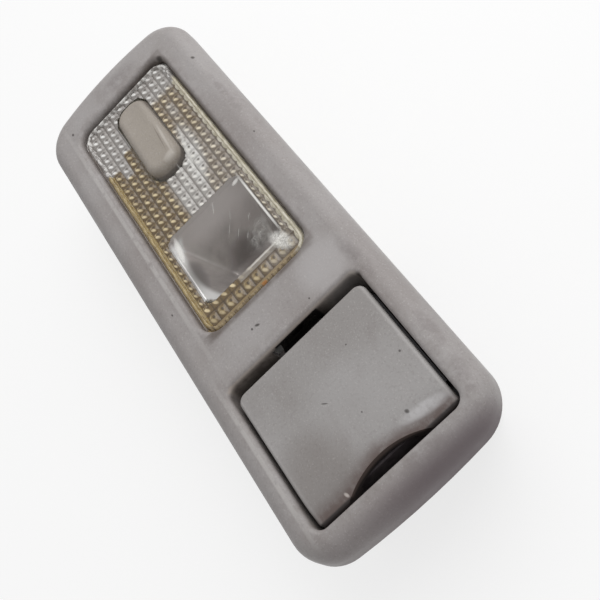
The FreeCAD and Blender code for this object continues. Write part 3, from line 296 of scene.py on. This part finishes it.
# Panel clip, springs and stubber. Bent from dark hardened steel strip and wire, with a little rust.
# The clip is blued and bows out from the wall of the pocket; the rest sit in the rocker and on the bin.
steel = Finish("spring_steel", Metallic=1.0, Roughness=0.4)
steel.clouds(tint(62, 62, 65), tint(92, 92, 95), 0.5, 3.0)
rust = steel.noise(1.1, 4.0, 0.7).rise(0.58, 0.72)
steel.paint(rust * 0.5, tint(88, 66, 50))
steel.wear(*(nodes[name] for name in ("rocker_spring", "bin_spring", "stubber", "lid_spring")))
blued = Finish("clip_steel", Roughness=0.7, Specular_IOR_Level=0.2)
blued.clouds(tint(14, 14, 15), tint(24, 23, 23), 0.5, 3.0)
blued.wear(nodes["panel_clip"])

# Reflector. Thin moulded dish, vacuum-metallised and dulled with age.
# It stands on a foot of the lamp base under the plain window, raked on the side away from the bulb.
dish_low, dish_high = (np.array(corner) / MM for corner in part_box("reflector"))
dish_half_y = (dish_high[1] - dish_low[1]) / 2
dish_wall, dish_blend, dish_lap = 1.0, 0.9, 0.6
dish_rim, dish_floor = dish_high[2], dish_low[2] + dish_wall
dish_rake, dish_draft, dish_back = 10.5, 6.5, 3.25
cap_middle, cap_half, cap_from, cap_taper = 8.0, 4.6, 9.1, 0.2
scene = bpy.context.scene


def dish_point(x, y):
    """Floor and four drafted walls, blended as k log(sum of exp(height / k)) and cut level at the rim."""
    depth = dish_rim - dish_floor
    inset = ((x - dish_low[0] - dish_wall) / dish_rake, (dish_high[0] - dish_wall - x) / dish_back,
             (dish_half_y - dish_wall - np.abs(y)) / dish_draft, np.ones_like(x))
    height = dish_blend * np.log(sum(np.exp(-depth * part / dish_blend) for part in inset))
    return x, y, dish_rim + np.minimum(height, 0)


def dish_keep(x, y):
    """Leaves out the slots in the two long walls for the bulb's caps, which narrow towards the rim."""
    past = np.abs(y) - cap_from
    return (past < 0) | (np.abs(x - cap_middle) > cap_half - cap_taper * past)


def surface(name, body, u, v, shape, keep=None):
    """Grid mesh of shape(u, v), a point in millimetres, with the faces whose middle keep(x, y) allows."""
    grid_u, grid_v = np.meshgrid(u, v, indexing="ij")
    points = np.stack(np.broadcast_arrays(*shape(grid_u, grid_v)), -1)
    index = np.arange(grid_u.size).reshape(grid_u.shape)
    faces = np.stack([index[:-1, :-1], index[1:, :-1], index[1:, 1:], index[:-1, 1:]], -1)
    if keep is not None:
        middle = (points[:-1, :-1] + points[1:, 1:]) / 2
        faces = faces[keep(middle[..., 0], middle[..., 1])]
    mesh = bpy.data.meshes.new(name)
    mesh.from_pydata((points.reshape(-1, 3) * MM).tolist(), [], faces.reshape(-1, 4).tolist())
    mesh.shade_smooth()
    made = bpy.data.objects.new(name, mesh)
    scene.collection.objects.link(made)
    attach(made, body)
    return made


dish_x = np.linspace(dish_low[0] - dish_lap, dish_high[0], 150)
dish_y = np.linspace(dish_low[1], dish_high[1], 130)
dish = surface("reflector_dish", "panel", dish_x, dish_y, dish_point, dish_keep)
thick = dish.modifiers.new("sheet", "SOLIDIFY")
thick.thickness, thick.offset = 0.9 * dish_wall * MM, -1.0
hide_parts("reflector")
silver = Finish("silvered", Metallic=0.35, Roughness=0.4)

# The painted reflections, light and shade are laid out level with the mouth, and fall slantwise on the walls
mouth_level, slant_x, slant_y = 23.2, 0.95, 0.23
sunk = mouth_level - silver.z
silver.x, silver.y = silver.x + sunk * slant_x, silver.y + sunk * slant_y
smoky = silver.noise(0.14, 4.0, 0.6, (0.4, 1, 1), 25)
silver.tone = smoky.rise(0.3, 0.7).mix(tint(158, 151, 148), tint(180, 173, 170))
# Painted light at the narrow end and towards +Y, painted shade in the middle and on the foot of the -Y wall,
# and a painted reflected streak
lit_end, lit_wall = silver.x.rise(-8, -17), silver.spot(-10, 9, 13, 8)
shaded_middle, shaded_foot = silver.spot(2.5, 2.6, 9, 8), silver.spot(-5, -13.6, 8, 3.0)
reflected_streak = silver.spot(-7, -8.6, 13, 2.6, 12)
silver.paint(lit_end * 0.8, tint(212, 205, 202))
silver.paint(lit_wall * 0.4, tint(206, 198, 195))
silver.paint(shaded_middle, tint(112, 103, 100))
silver.paint(reflected_streak * 0.45, tint(204, 200, 195))
silver.paint(shaded_foot, tint(122, 117, 115))
# Painted white reflection along the -Y wall, brightest towards its ends
glow_x, glow_y = -6.5, -14.0
along = silver.x - glow_x
white_reflection = silver.y - glow_y - along * along * 0.0185 - abs(along) * along * 0.0025
bright_ends = abs(along).rise(1.0, 10.0) * 0.6 + 0.4
silver.paint(white_reflection.rise(0.7, -0.9) * bright_ends * silver.x.rise(-21.6, -19.2), tint(250, 250, 249))
silver.wear(nodes["reflector"], dish)

# Bulb. Festoon bulb: a glass tube with a nickel-plated conical cap at each end.
# It is gripped between two brass blades, across the base.
glass = Finish("bulb_glass", Base_Color=tint(240, 240, 236), Roughness=0.05)
glass.feed("Alpha", glass.noise(0.3).rise(0.4, 0.7) * 0.1 + 0.3)
glass.wear(nodes["bulb_glass"])
nickel = Finish("bulb_cap", Metallic=1.0, Roughness=0.3)
nickel.clouds(tint(186, 182, 172), tint(206, 203, 196), 0.7)
nickel.wear(nodes["bulb_caps"])

# Contact strips and plunger. Stamped and turned brass, browned where it has been handled.
# The strips lie on the floor of the base, and the sprung plunger slides over their tabs.
brass = Finish("contact_brass", Metallic=1.0, Roughness=0.35)
brass.clouds(tint(176, 146, 84), tint(204, 176, 112), 0.4, 3.0)
brass.stain(tint(110, 78, 44), 0.8, 0.5)
strips = ("live_strip", "return_strip", "door_strip", "earth_strip")
brass.wear(*(nodes[name] for name in strips), nodes["contact_plunger"])

# Lens beads. The underside of the clear acrylic lens is pressed into rows of small square beads.
# Heat has yellowed it, except at the narrow end, where it is still silver-white.
lens_low, lens_high = (np.array(corner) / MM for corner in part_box("lens"))
flange = 2.6
crown_low, crown_high = lens_low + flange, lens_high - flange
crown_middle, crown_half = (crown_low + crown_high) / 2, (crown_high - crown_low) / 2
crown_corner, crown_round = 4.9, 1.0
bead_pitch = np.array((3.2075, 3.149))
bead_first = np.array((-69.61, 1.14))
bead_floor, bead_rise = lens_high[2] - 1.5, 0.5
window_middle, window_half, window_corner = np.array((-3.4, -0.1)), np.array((13.9, 14.0)), 3.0
window_end = window_middle[0] + window_half[0] - 0.4
side_from, side_upper, side_lower = 13.0, (14.0, 1.5), (-14.2, 1.9)
pearl_column, pearl_width = 14.5, 4.2
pillow, strip_height = 2.6, 0.5
edge_width, bead_border, bead_grid = 1.15, 0.9, 0.22
hole_middle, hole_half, hole_corner = (-52.5, 0.0), (18.5, 6.3), 5.6


def rounded(x, y, middle, half, corner):
    """Distance outside a rectangle with round corners, negative inside."""
    past_x = np.abs(x - middle[0]) - half[0] + corner
    past_y = np.abs(y - middle[1]) - half[1] + corner
    outside = np.hypot(np.maximum(past_x, 0), np.maximum(past_y, 0))
    return outside + np.minimum(np.maximum(past_x, past_y), 0) - corner


def rocker_gap(x, y):
    """Distance outside the hole that the rocker tips in."""
    return rounded(x, y, hole_middle, hole_half, hole_corner)


def bead_cell(x, y):
    """Running bead numbers: square cells, a slim row along each side of the window, large pearls past it."""
    u = (x - bead_first[0]) / bead_pitch[0] + 0.5
    v = (y - bead_first[1]) / bead_pitch[1] + 0.5
    past = x > window_end
    side = (np.abs(x - window_middle[0]) < window_half[0]) & ~past & (np.abs(y) > side_from)
    row = np.where(y > 0, side_upper[0], side_lower[0])
    width = np.where(y > 0, side_upper[1], side_lower[1])
    v = np.where(side, (y - row) / width, v)
    u = np.where(past, (x - pearl_column) / pearl_width + 0.5, u)
    return u, v


def bead_point(x, y):
    """Pillows (1 - |2u|^k)(1 - |2v|^k), u and v from each cell's middle, and a plain strip by the window."""
    u, v = bead_cell(x, y)
    cell_u, cell_v = np.abs(2 * (u % 1.0) - 1), np.abs(2 * (v % 1.0) - 1)
    plain = (x > window_end) & (np.abs(x - pearl_column) > pearl_width / 2)
    height = np.where(plain, strip_height, (1 - cell_u ** pillow) * (1 - cell_v ** pillow))
    return x, y, bead_floor + bead_rise * height


def bead_keep(x, y):
    """Leaves out the plain window, the rocker's hole and the moulded edge."""
    return ((rounded(x, y, window_middle, window_half, window_corner) > 0) & (rocker_gap(x, y) > 0)
            & (rounded(x, y, crown_middle, crown_half, crown_corner) < -edge_width))


bead_x = np.arange(crown_low[0] + bead_border, crown_high[0] - bead_border, bead_grid)
bead_y = np.arange(crown_low[1] + bead_border, crown_high[1] - bead_border, bead_grid)
beads = surface("lens_beads", "panel", bead_x, bead_y, bead_point, bead_keep)
beads.visible_shadow = False
cell_u, cell_v = bead_cell(*np.meshgrid(bead_x, bead_y, indexing="ij"))
cells = np.stack((cell_u, cell_v, np.zeros_like(cell_u)), -1)
beads.data.attributes.new("cell", "FLOAT_VECTOR", "POINT").data.foreach_set("vector", cells.ravel())

pearl = Finish("lens_beads", Roughness=0.28, Coat_Weight=0.5, Coat_Roughness=0.08)
u, v, _ = pearl.point.node("ShaderNodeAttribute", out="Vector", attribute_name="cell").parts()
u, v = u.math("FRACT", u) - 0.5, v.math("FRACT", v) - 0.5


def stroke(middle_u, middle_v, length, width, turn):
    """Soft stroke inside each bead, in parts of its cell."""
    return oval(u - middle_u, v - middle_v, length, width, turn).rise(1.0, 0.1)


# Each bead has two painted glints, and painted shade in its hollow and along its borders
lively = pearl.noise(0.35, 2.0).rise(0.3, 0.65) * 0.45 + 0.58
glint = stroke(0.15, -0.10, 0.37, 0.17, 48).at_least(stroke(-0.20, -0.20, 0.18, 0.10, -45) * 0.6) * lively
shade = (stroke(-0.05, 0.12, 0.20, 0.17, 30) * 0.85).at_least(abs(v).rise(0.38, 0.5) * 0.7).at_least(
    abs(u).rise(0.42, 0.5) * 0.45)

# The yellowed rows start at steps below the rocker, above it, and past the window
lower = pearl.y.rise(-3.4, -3.8)
split = -56.0 + pearl.y.rise(-9.7, -10.1) * 9.0 - pearl.y.rise(-12.9, -13.3) * 5.5
aged = lower * (pearl.x - split).rise(-0.6, 0.6)
aged = aged.at_least(pearl.y.rise(5.5, 5.9) * pearl.x.rise(-64, -61) * (0.85 - pearl.x.rise(-46, -34) * 0.3))
aged = aged.at_least(pearl.x.rise(10.0, 11.0) * (pearl.y.rise(9.0, 1.0) * 0.6 + 0.4))
aged = aged.at_least(pearl.x.rise(-37, -36) * 0.12)
aged = aged * (1 - pearl.spot(-36, 7.5, 16, 4.5, -8) * 0.85) * (1 - pearl.spot(-54, 10.6, 6, 2, 0) * 0.6)

# Silver or yellow ground, then brown patches, painted glare on the pale rows, painted light and shade on the
# large beads, and the painted shade and glints on each bead
pearl.tone = aged.mix(tint(150, 145, 141), tint(101, 79, 39))
pearl.paint(aged * pearl.noise(0.2, 3.0).rise(0.45, 0.7) * 0.6, tint(92, 70, 38))
# Painted glare on the pale rows right of the rocker, and a brighter painted glare streak above them
pale = pearl.spot(-27, 1.0, 16, 8).at_least(pearl.spot(-36, 8.0, 15, 3.5, -8)) * (1 - aged * 0.5)
pearl.paint(pale * (pearl.noise(0.3, 2.0).rise(0.3, 0.6) * 0.5 + 0.4), tint(184, 181, 177))
pearl.paint(pearl.spot(-32, 6.5, 11, 3.2, -8) * 0.6, tint(216, 215, 212))
large = pearl.x.rise(12.2, 12.6) * pearl.x.rise(16.8, 16.4)
from_middle = u * u + v * v
# Painted light in the middle of each large bead and painted shade towards its corners, which make it look
# round
pearl.paint(large * from_middle.rise(0.16, 0.02) * 0.7, tint(142, 120, 76))
pearl.paint(large * from_middle.rise(0.17, 0.32) * 0.8, tint(86, 64, 32))
pearl.paint(shade, aged.mix(tint(94, 88, 84), tint(58, 42, 20)))
# Painted glints, silver-white or golden
pearl.paint(glint * (1 - large * 0.4), aged.mix(tint(246, 245, 242), tint(227, 209, 168)))

# Scalloped and plain borders along the two long sides, and the plain strip beside the window
scallop = (pearl.y - 15.45 - u * u * 2.0).rise(-0.1, 0.2) * pearl.x.rise(-64, -62.5)
pearl.paint(scallop, pearl.noise(0.6, 3.0).rise(0.3, 0.7).mix(tint(186, 178, 154), tint(222, 216, 200)))
pearl.paint(pearl.y.rise(-15.8, -16.0) * pearl.x.rise(-53, -52.4), tint(152, 132, 86))
strip = pearl.x.rise(10.0, 10.3) * pearl.x.rise(12.5, 12.3)
strip = strip * pearl.y.rise(-3.4, -2.8) * pearl.y.rise(14.2, 13.6)
pearl.paint(strip * 0.8, tint(142, 135, 127))
pearl.paint(strip * pearl.band(pearl.x, 10.9, 0.4) * pearl.y.rise(-2, 3) * 0.7, tint(222, 219, 213))
pearl.paint(pearl.x.rise(16.4, 16.8) * 0.7, tint(150, 128, 86))
pearl.wear(beads)

# Lens edge. The wall of the same moulding, thicker and rounded, seen on edge through its own plastic.
# It shows painted glints at the narrow end, creamy along one side and brown where heat and dirt have got in.
quarter_turn = np.linspace(0, math.pi / 2, 8)
foot_inset, foot_drop = [-0.55, -0.1, 0], [1.1, 1.5, 1.4]
lip_inset, lip_drop = [edge_width, 1.35, 1.5], [0.1, 0.8, 1.5]
edge_sunk, least_corner = 0.12, 0.02
corner_points, arc_gap, joint_inset = 13, 1e-6, 0.1
edge_inset = np.concatenate([foot_inset, crown_round * (1 - np.cos(quarter_turn)), lip_inset])
edge_drop = np.concatenate([foot_drop, crown_round * (1 - np.sin(quarter_turn)), lip_drop]) + edge_sunk


def lens_loop(inset, turn):
    """Rounded rectangle of the lens moved in by inset; turn runs 0 to 1 through its four corner arcs."""
    corner = np.maximum(crown_corner - inset, least_corner)
    straight_x = crown_half[0] - inset - corner
    straight_y = np.maximum(crown_half[1] - inset - corner, 0)
    quarter = np.floor(turn * 4) % 4
    angle = turn * 2 * math.pi
    side_x = np.where((quarter == 0) | (quarter == 3), 1, -1)
    side_y = np.where(quarter < 2, 1, -1)
    x = crown_middle[0] + side_x * straight_x + corner * np.cos(angle)
    return x, side_y * straight_y + corner * np.sin(angle)


def edge_point(step, turn):
    """Wall profile carried round the lens: up the skirt, over a quarter round and down to the beads."""
    order = np.arange(edge_inset.size)
    inset, drop = np.interp(step, order, edge_inset), np.interp(step, order, edge_drop)
    return *lens_loop(inset, turn), lens_high[2] - drop


arcs = [np.linspace(arc / 4, (arc + 1) / 4 - arc_gap, corner_points) for arc in range(4)]
loop = np.concatenate(arcs + [[1.0]])
edge = surface("lens_edge", "panel", np.arange(edge_inset.size), loop, edge_point)
edge.visible_shadow = False
amber = Finish("lens_edge", Roughness=0.2, Coat_Weight=0.6, Coat_Roughness=0.05)
streaks = amber.noise(0.9, 3.0, 0.6, (0.4, 2.0, 1))
# A ground of dark and pale noise: painted glints, left showing at the narrow end
amber.tone = amber.noise(0.6, 3.0, 0.6).rise(0.42, 0.62).mix(tint(128, 122, 118), tint(224, 222, 219))
cream = amber.y.rise(12, 16) * amber.x.rise(-65, -62)
amber.paint(cream, streaks.rise(0.3, 0.7).mix(tint(166, 156, 128), tint(214, 207, 188)))
golden = amber.y.rise(-13, -15) * amber.x.rise(-53, -52)
amber.paint(golden, streaks.rise(0.3, 0.7).mix(tint(126, 104, 58), tint(178, 158, 108)))
burnt = amber.x.rise(15.4, 16.6) * amber.y.rise(15.5, 12)
amber.paint(burnt, streaks.rise(0.3, 0.7).mix(tint(98, 78, 48), tint(170, 150, 112)))
burnt_spot = amber.spot(18.6, 2.1, 1.6, 1.1)
amber.paint(burnt_spot, tint(168, 108, 30))
joint = beyond(amber, crown_middle[0], *(crown_half[:2] - joint_inset)).rise(0.0, 0.2)
amber.paint(joint * 0.9, tint(104, 93, 86))
amber.wear(edge)

# Lens face. The clear outer face of the moulding, glossy under its scratches.
# Scuffs and a haze of fine scratches show white where they catch the light, beside painted glare spots and a
# painted bright line along the window.
flat_from = 1.5


def face_point(inset, turn):
    """Loops of the lens outline, moved in to its middle line, over a quarter round and then level."""
    drop = crown_round * (1 - np.sqrt(np.maximum(1 - (1 - np.clip(inset / crown_round, 0, 1)) ** 2, 0)))
    return *lens_loop(inset, turn), lens_high[2] - drop


level_insets = np.linspace(flat_from, crown_half[1] - least_corner, 60)
face_insets = np.concatenate([np.linspace(0, crown_round, 8), level_insets])
skin = surface("lens_face", "panel", face_insets, loop, face_point, lambda x, y: rocker_gap(x, y) > 0)
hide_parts("lens")
clear = Finish("clear_lens", Base_Color=tint(246, 245, 240), Roughness=0.08)
fine = clear.noise(1.3, 3.0, 0.6, (0.12, 1.6, 1), 28).rise(0.60, 0.74)
crossed = clear.noise(1.2, 3.0, 0.6, (0.15, 1.5, 1), -35).rise(0.62, 0.76)
haze_and_glare = fine.at_least(crossed) * 0.12
scuffed = clear.noise(3.4, 4.0, 0.8, (0.6, 1, 1), 30).rise(0.35, 0.75) * clear.noise(0.5).rise(0.25, 0.65)
haze_and_glare = haze_and_glare + clear.spot(6.0, 8.8, 6.5, 4.6, -35) * scuffed * 0.45
# Painted glare at the wide corner, a painted bright line along the +Y side of the window, and painted glare
# spots
glaring = clear.noise(1.6, 4.0, 0.8).rise(0.3, 0.7) * 0.6 + 0.25
haze_and_glare = haze_and_glare + clear.spot(12.8, 12.2, 5.2, 2.8, 20) * glaring
haze_and_glare = haze_and_glare + clear.band(clear.y, 13.75, 0.45) * clear.band(clear.x, -2.5, 16) * 0.75
for glare, strength in (((-13.5, 12.2, 0.9, 1.6, 15), 0.5), ((-10.2, -11.6, 6.0, 1.2, -9), 0.6),
                        ((-36, 7, 13, 0.8, -12), 0.4), ((-28, 2.2, 9, 0.4, 0), 0.3)):
    haze_and_glare = haze_and_glare + clear.spot(*glare) * strength
for scratch in ((-1.0, 9.4, 1.6, 0.14, -40), (3.4, 6.2, 1.5, 0.14, -38), (-2.5, 3.0, 2.6, 0.12, -35),
                (-6.0, 5.5, 2.2, 0.10, -30), (-12.5, 3.0, 3.0, 0.16, -25), (0.5, 4.6, 2.0, 0.10, -35)):
    haze_and_glare = haze_and_glare + clear.spot(*scratch) * 0.28
clear_alpha, hazed_alpha = 0.03, 0.85
clear.feed("Alpha", (haze_and_glare + clear_alpha).at_most(hazed_alpha))
clear.wear(skin, nodes["lens"])

# Rocker. Glossier moulding in a warmer grey, polished by thumbs, that tips on two trunnions in the base.
# A scratch and a pale rub with a painted highlight run along its top, one end has a painted highlight, and
# painted shade lies below its rim.
thumb = moulded_grey("rocker_grey", tint(152, 144, 134), tint(162, 154, 145))
dark_scratch, rub_highlight = thumb.spot(-46.5, 3.2, 8, 0.25, -4), thumb.spot(-45.0, 4.2, 9, 0.5, -3)
end_highlight, shade_below_rim = thumb.spot(-37.6, 2.4, 1.6, 2.6, 20), thumb.z.rise(30.6, 29.6)
thumb.paint(dark_scratch * 0.6, tint(112, 104, 96))
# Painted highlights on the rub along the top and on one end, and painted shade below the rim
thumb.paint(rub_highlight * 0.35, tint(204, 199, 192))
thumb.paint(end_highlight * 0.4, tint(196, 191, 184))
thumb.paint(shade_below_rim * 0.8, grime_and_shade)
thumb.wear(nodes["switch_rocker"])

# Ashtray bin. Black heat-resistant moulding that pulls straight out of the pocket.
# Only its dark edge shows, in the gaps round the lid.
black = Finish("black_bin", Roughness=0.55)
black.clouds(tint(38, 36, 38), tint(52, 49, 51), 0.3, 3.0)
black.stain(tint(84, 76, 68), 0.6, 0.5)
black.bump(black.noise(1.4), 0.2, 0.1)
black.wear(nodes["ashtray_bin"])

# Finger guard. A thin scooped wall of the same black moulding, behind the cut in the front of the bin.
# It keeps a fingertip in the notch out of the ash, and is all that shows through the notch, where its dark
# grey stands for the shade inside.
bin_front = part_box("ashtray_bin")[1][0] / MM
guard_half, guard_low, guard_top = 13.4, 16.0, 27.4
guard_inset, guard_bulge, guard_rise, guard_wall = 1.5, 2.2, 6.0, 0.8


def guard_point(y, z):
    """Bulge of the front wall, depth (1 - (y / half)^6), reached over a smooth step in its lower half."""
    climb = np.clip((z - guard_low) / guard_rise, 0, 1)
    bulge = guard_bulge * (1 - (y / guard_half) ** 6) * climb * climb * (3 - 2 * climb)
    return bin_front - guard_inset - bulge, y, z


guard = surface("bin_guard", "bin", np.linspace(-guard_half, guard_half, 61),
                np.linspace(guard_low, guard_top, 31), guard_point)
thick = guard.modifiers.new("sheet", "SOLIDIFY")
thick.thickness, thick.offset = guard_wall * MM, 1.0
# Its grey is painted shade: the dark seen through the notch
notch_shade_grey = Finish("guard_black", Roughness=0.8, Specular_IOR_Level=0.1)
notch_shade_grey.clouds(tint(74, 69, 71), tint(90, 84, 86), 0.5, 3.0)
notch_shade_grey.wear(guard)

# Ashtray lid. Grey moulding on a steel pin, matched to the bezel, with a crescent cut for a fingertip.
# Its bent front edge is browned by fingers and has painted shade, with painted shade in the cut, painted
# highlights on one corner and the long edges, and a burr at one end of the cut.
lid = moulded_grey("lid_grey", tint(146, 142, 140), tint(159, 156, 155))
soil = lid.noise(0.4, 4.0, 0.65)
notch_middle, notch_radius = 100.56, 24.31
from_notch = lid.x - notch_middle
notch_arc = from_notch * from_notch + lid.y * lid.y
bend_start = 74.5 - (1 - abs(lid.y) / 12.0).at_least(0.0) * 2.5
bend_dirt_and_shade = (lid.x - bend_start).rise(0.0, 4.0)
soiled_corner, top_glare = lid.spot(72, -14, 17, 13), lid.spot(62, 2, 16, 13, 20)
edge_highlights, front_gap_shade = abs(lid.y).rise(19.3, 20.4), lid.x.rise(78.6, 79.2) * lid.z.rise(28.2, 29.0)
notch_rim = notch_arc.rise((notch_radius + 0.11) ** 2, (notch_radius + 0.02) ** 2)
notch_wall = notch_arc.rise((notch_radius + 0.19) ** 2, (notch_radius + 0.09) ** 2)
lid.paint(soiled_corner * 0.4, tint(112, 104, 99))
# Dirt and painted shade on the bend
lid.paint(bend_dirt_and_shade * (soil.rise(0.25, 0.6) * 0.45 + 0.5), tint(102, 89, 85))
# Painted glare on the top and painted highlights along the long edges
lid.paint(top_glare * 0.2, tint(176, 174, 174))
lid.paint(edge_highlights * 0.35, tint(182, 179, 177))
# Painted shade on the rim and down the wall of the cut, and a painted shadow line of the gap along the front
# edge
lid.paint(notch_rim, tint(116, 103, 98))
lid.paint(notch_wall * lid.z.rise(29.4, 28.4) * 0.9, tint(56, 51, 51))
lid.paint(front_gap_shade * 0.85, tint(40, 36, 36))
# Painted highlight along the bend at one corner
corner_highlight = lid.spot(75.6, 14.0, 8.0, 1.9, 80)
lid.paint(corner_highlight * (soil.rise(0.3, 0.6) * 0.5 + 0.25), tint(196, 194, 195))
burr = (78.0, -11.6, 0.9, 0.5, 20)
lid.paint(lid.spot(*burr), tint(190, 182, 176))
for speck in ((73.5, 10.6, 0.8, 0.6, 30), (61.2, 17.8, 0.45, 0.4, 0), (57.7, -3.4, 1.2, 0.22, 50),
              (66.0, 2.5, 0.35, 0.25, 0), (50.0, 9.0, 0.3, 0.3, 0)):
    lid.paint(lid.spot(*speck) * 0.8, tint(56, 51, 48))
lid.wear(nodes["ashtray_lid"])

# Floor and light. A pale sheet under broad, soft studio light from the narrow end.
# The sheet shows near white to the camera and in reflections, and keeps a soft shadow.
floor_glow, world_light, world_shown = 0.75, 0.5, 0.95


def seen_by(tree, *rays):
    """1 for the kinds of ray that are named, and 0 for the rest."""
    path = tree.nodes.new("ShaderNodeLightPath")
    seen, *others = (Wire(tree, path.outputs[f"Is {ray} Ray"]) for ray in rays)
    for other in others:
        seen = seen.at_least(other)
    return seen


bpy.ops.mesh.primitive_plane_add(size=6.0, location=(0, 0, 0))
floor = bpy.context.object
floor.name = "floor"
sheet = Finish("floor_sheet", Base_Color=(0.9, 0.9, 0.9, 1), Roughness=0.9)
shown = seen_by(sheet.tree, "Camera", "Glossy", "Transmission") * floor_glow
glow = shown.node("ShaderNodeEmission", {"Color": (1, 1, 1, 1), "Strength": 1.0})
blend = shown.node("ShaderNodeMixShader", {0: shown, 1: Wire(sheet.tree, sheet.shader.outputs[0]), 2: glow})
sheet.tree.links.new(blend.socket, sheet.tree.nodes["Material Output"].inputs["Surface"])
sheet.wear(floor)
world = bpy.data.worlds.new("studio")
world.use_nodes = True
sky = world.node_tree.nodes["Background"]
sky.inputs["Color"].default_value = (1, 1, 1, 1)
strength = seen_by(world.node_tree, "Camera", "Transmission") * (world_shown - world_light) + world_light
world.node_tree.links.new(strength.socket, sky.inputs["Strength"])
scene.world = world
lamp = bpy.data.lights.new("key", "AREA")
lamp.energy = 2.4
lamp.size = 0.65
key = bpy.data.objects.new("key", lamp)
key.location = (-0.18, 0.31, 0.40)
lit_point = Vector((0, 0, 0.03))
key.rotation_euler = (lit_point - key.location).to_track_quat("-Z", "Y").to_euler()
scene.collection.objects.link(key)

# Camera. Fitted to the photograph: a 60 mm lens on a 36 mm frame, held close above the ashtray end.
# Its place and its three directions are in the row frame; nothing is shifted or out of focus.
camera = bpy.data.cameras.new("camera")
camera.lens = 60.0
camera.sensor_width = 36.0
camera_place = (0.17801, 0.04502, 0.22111)
camera_right = (0.4845, 0.7062, -0.5164)
camera_down = (0.6332, -0.6903, -0.3501)
camera_ahead = (-0.6037, -0.1573, -0.7816)
turned = Matrix((camera_right, camera_down, camera_ahead)).transposed() @ Matrix.Diagonal((1, -1, -1))
viewer = bpy.data.objects.new("camera", camera)
viewer.matrix_world = Matrix.Translation(camera_place) @ turned.to_4x4()
scene.collection.objects.link(viewer)
scene.camera = viewer
scene.view_settings.view_transform = "Standard"
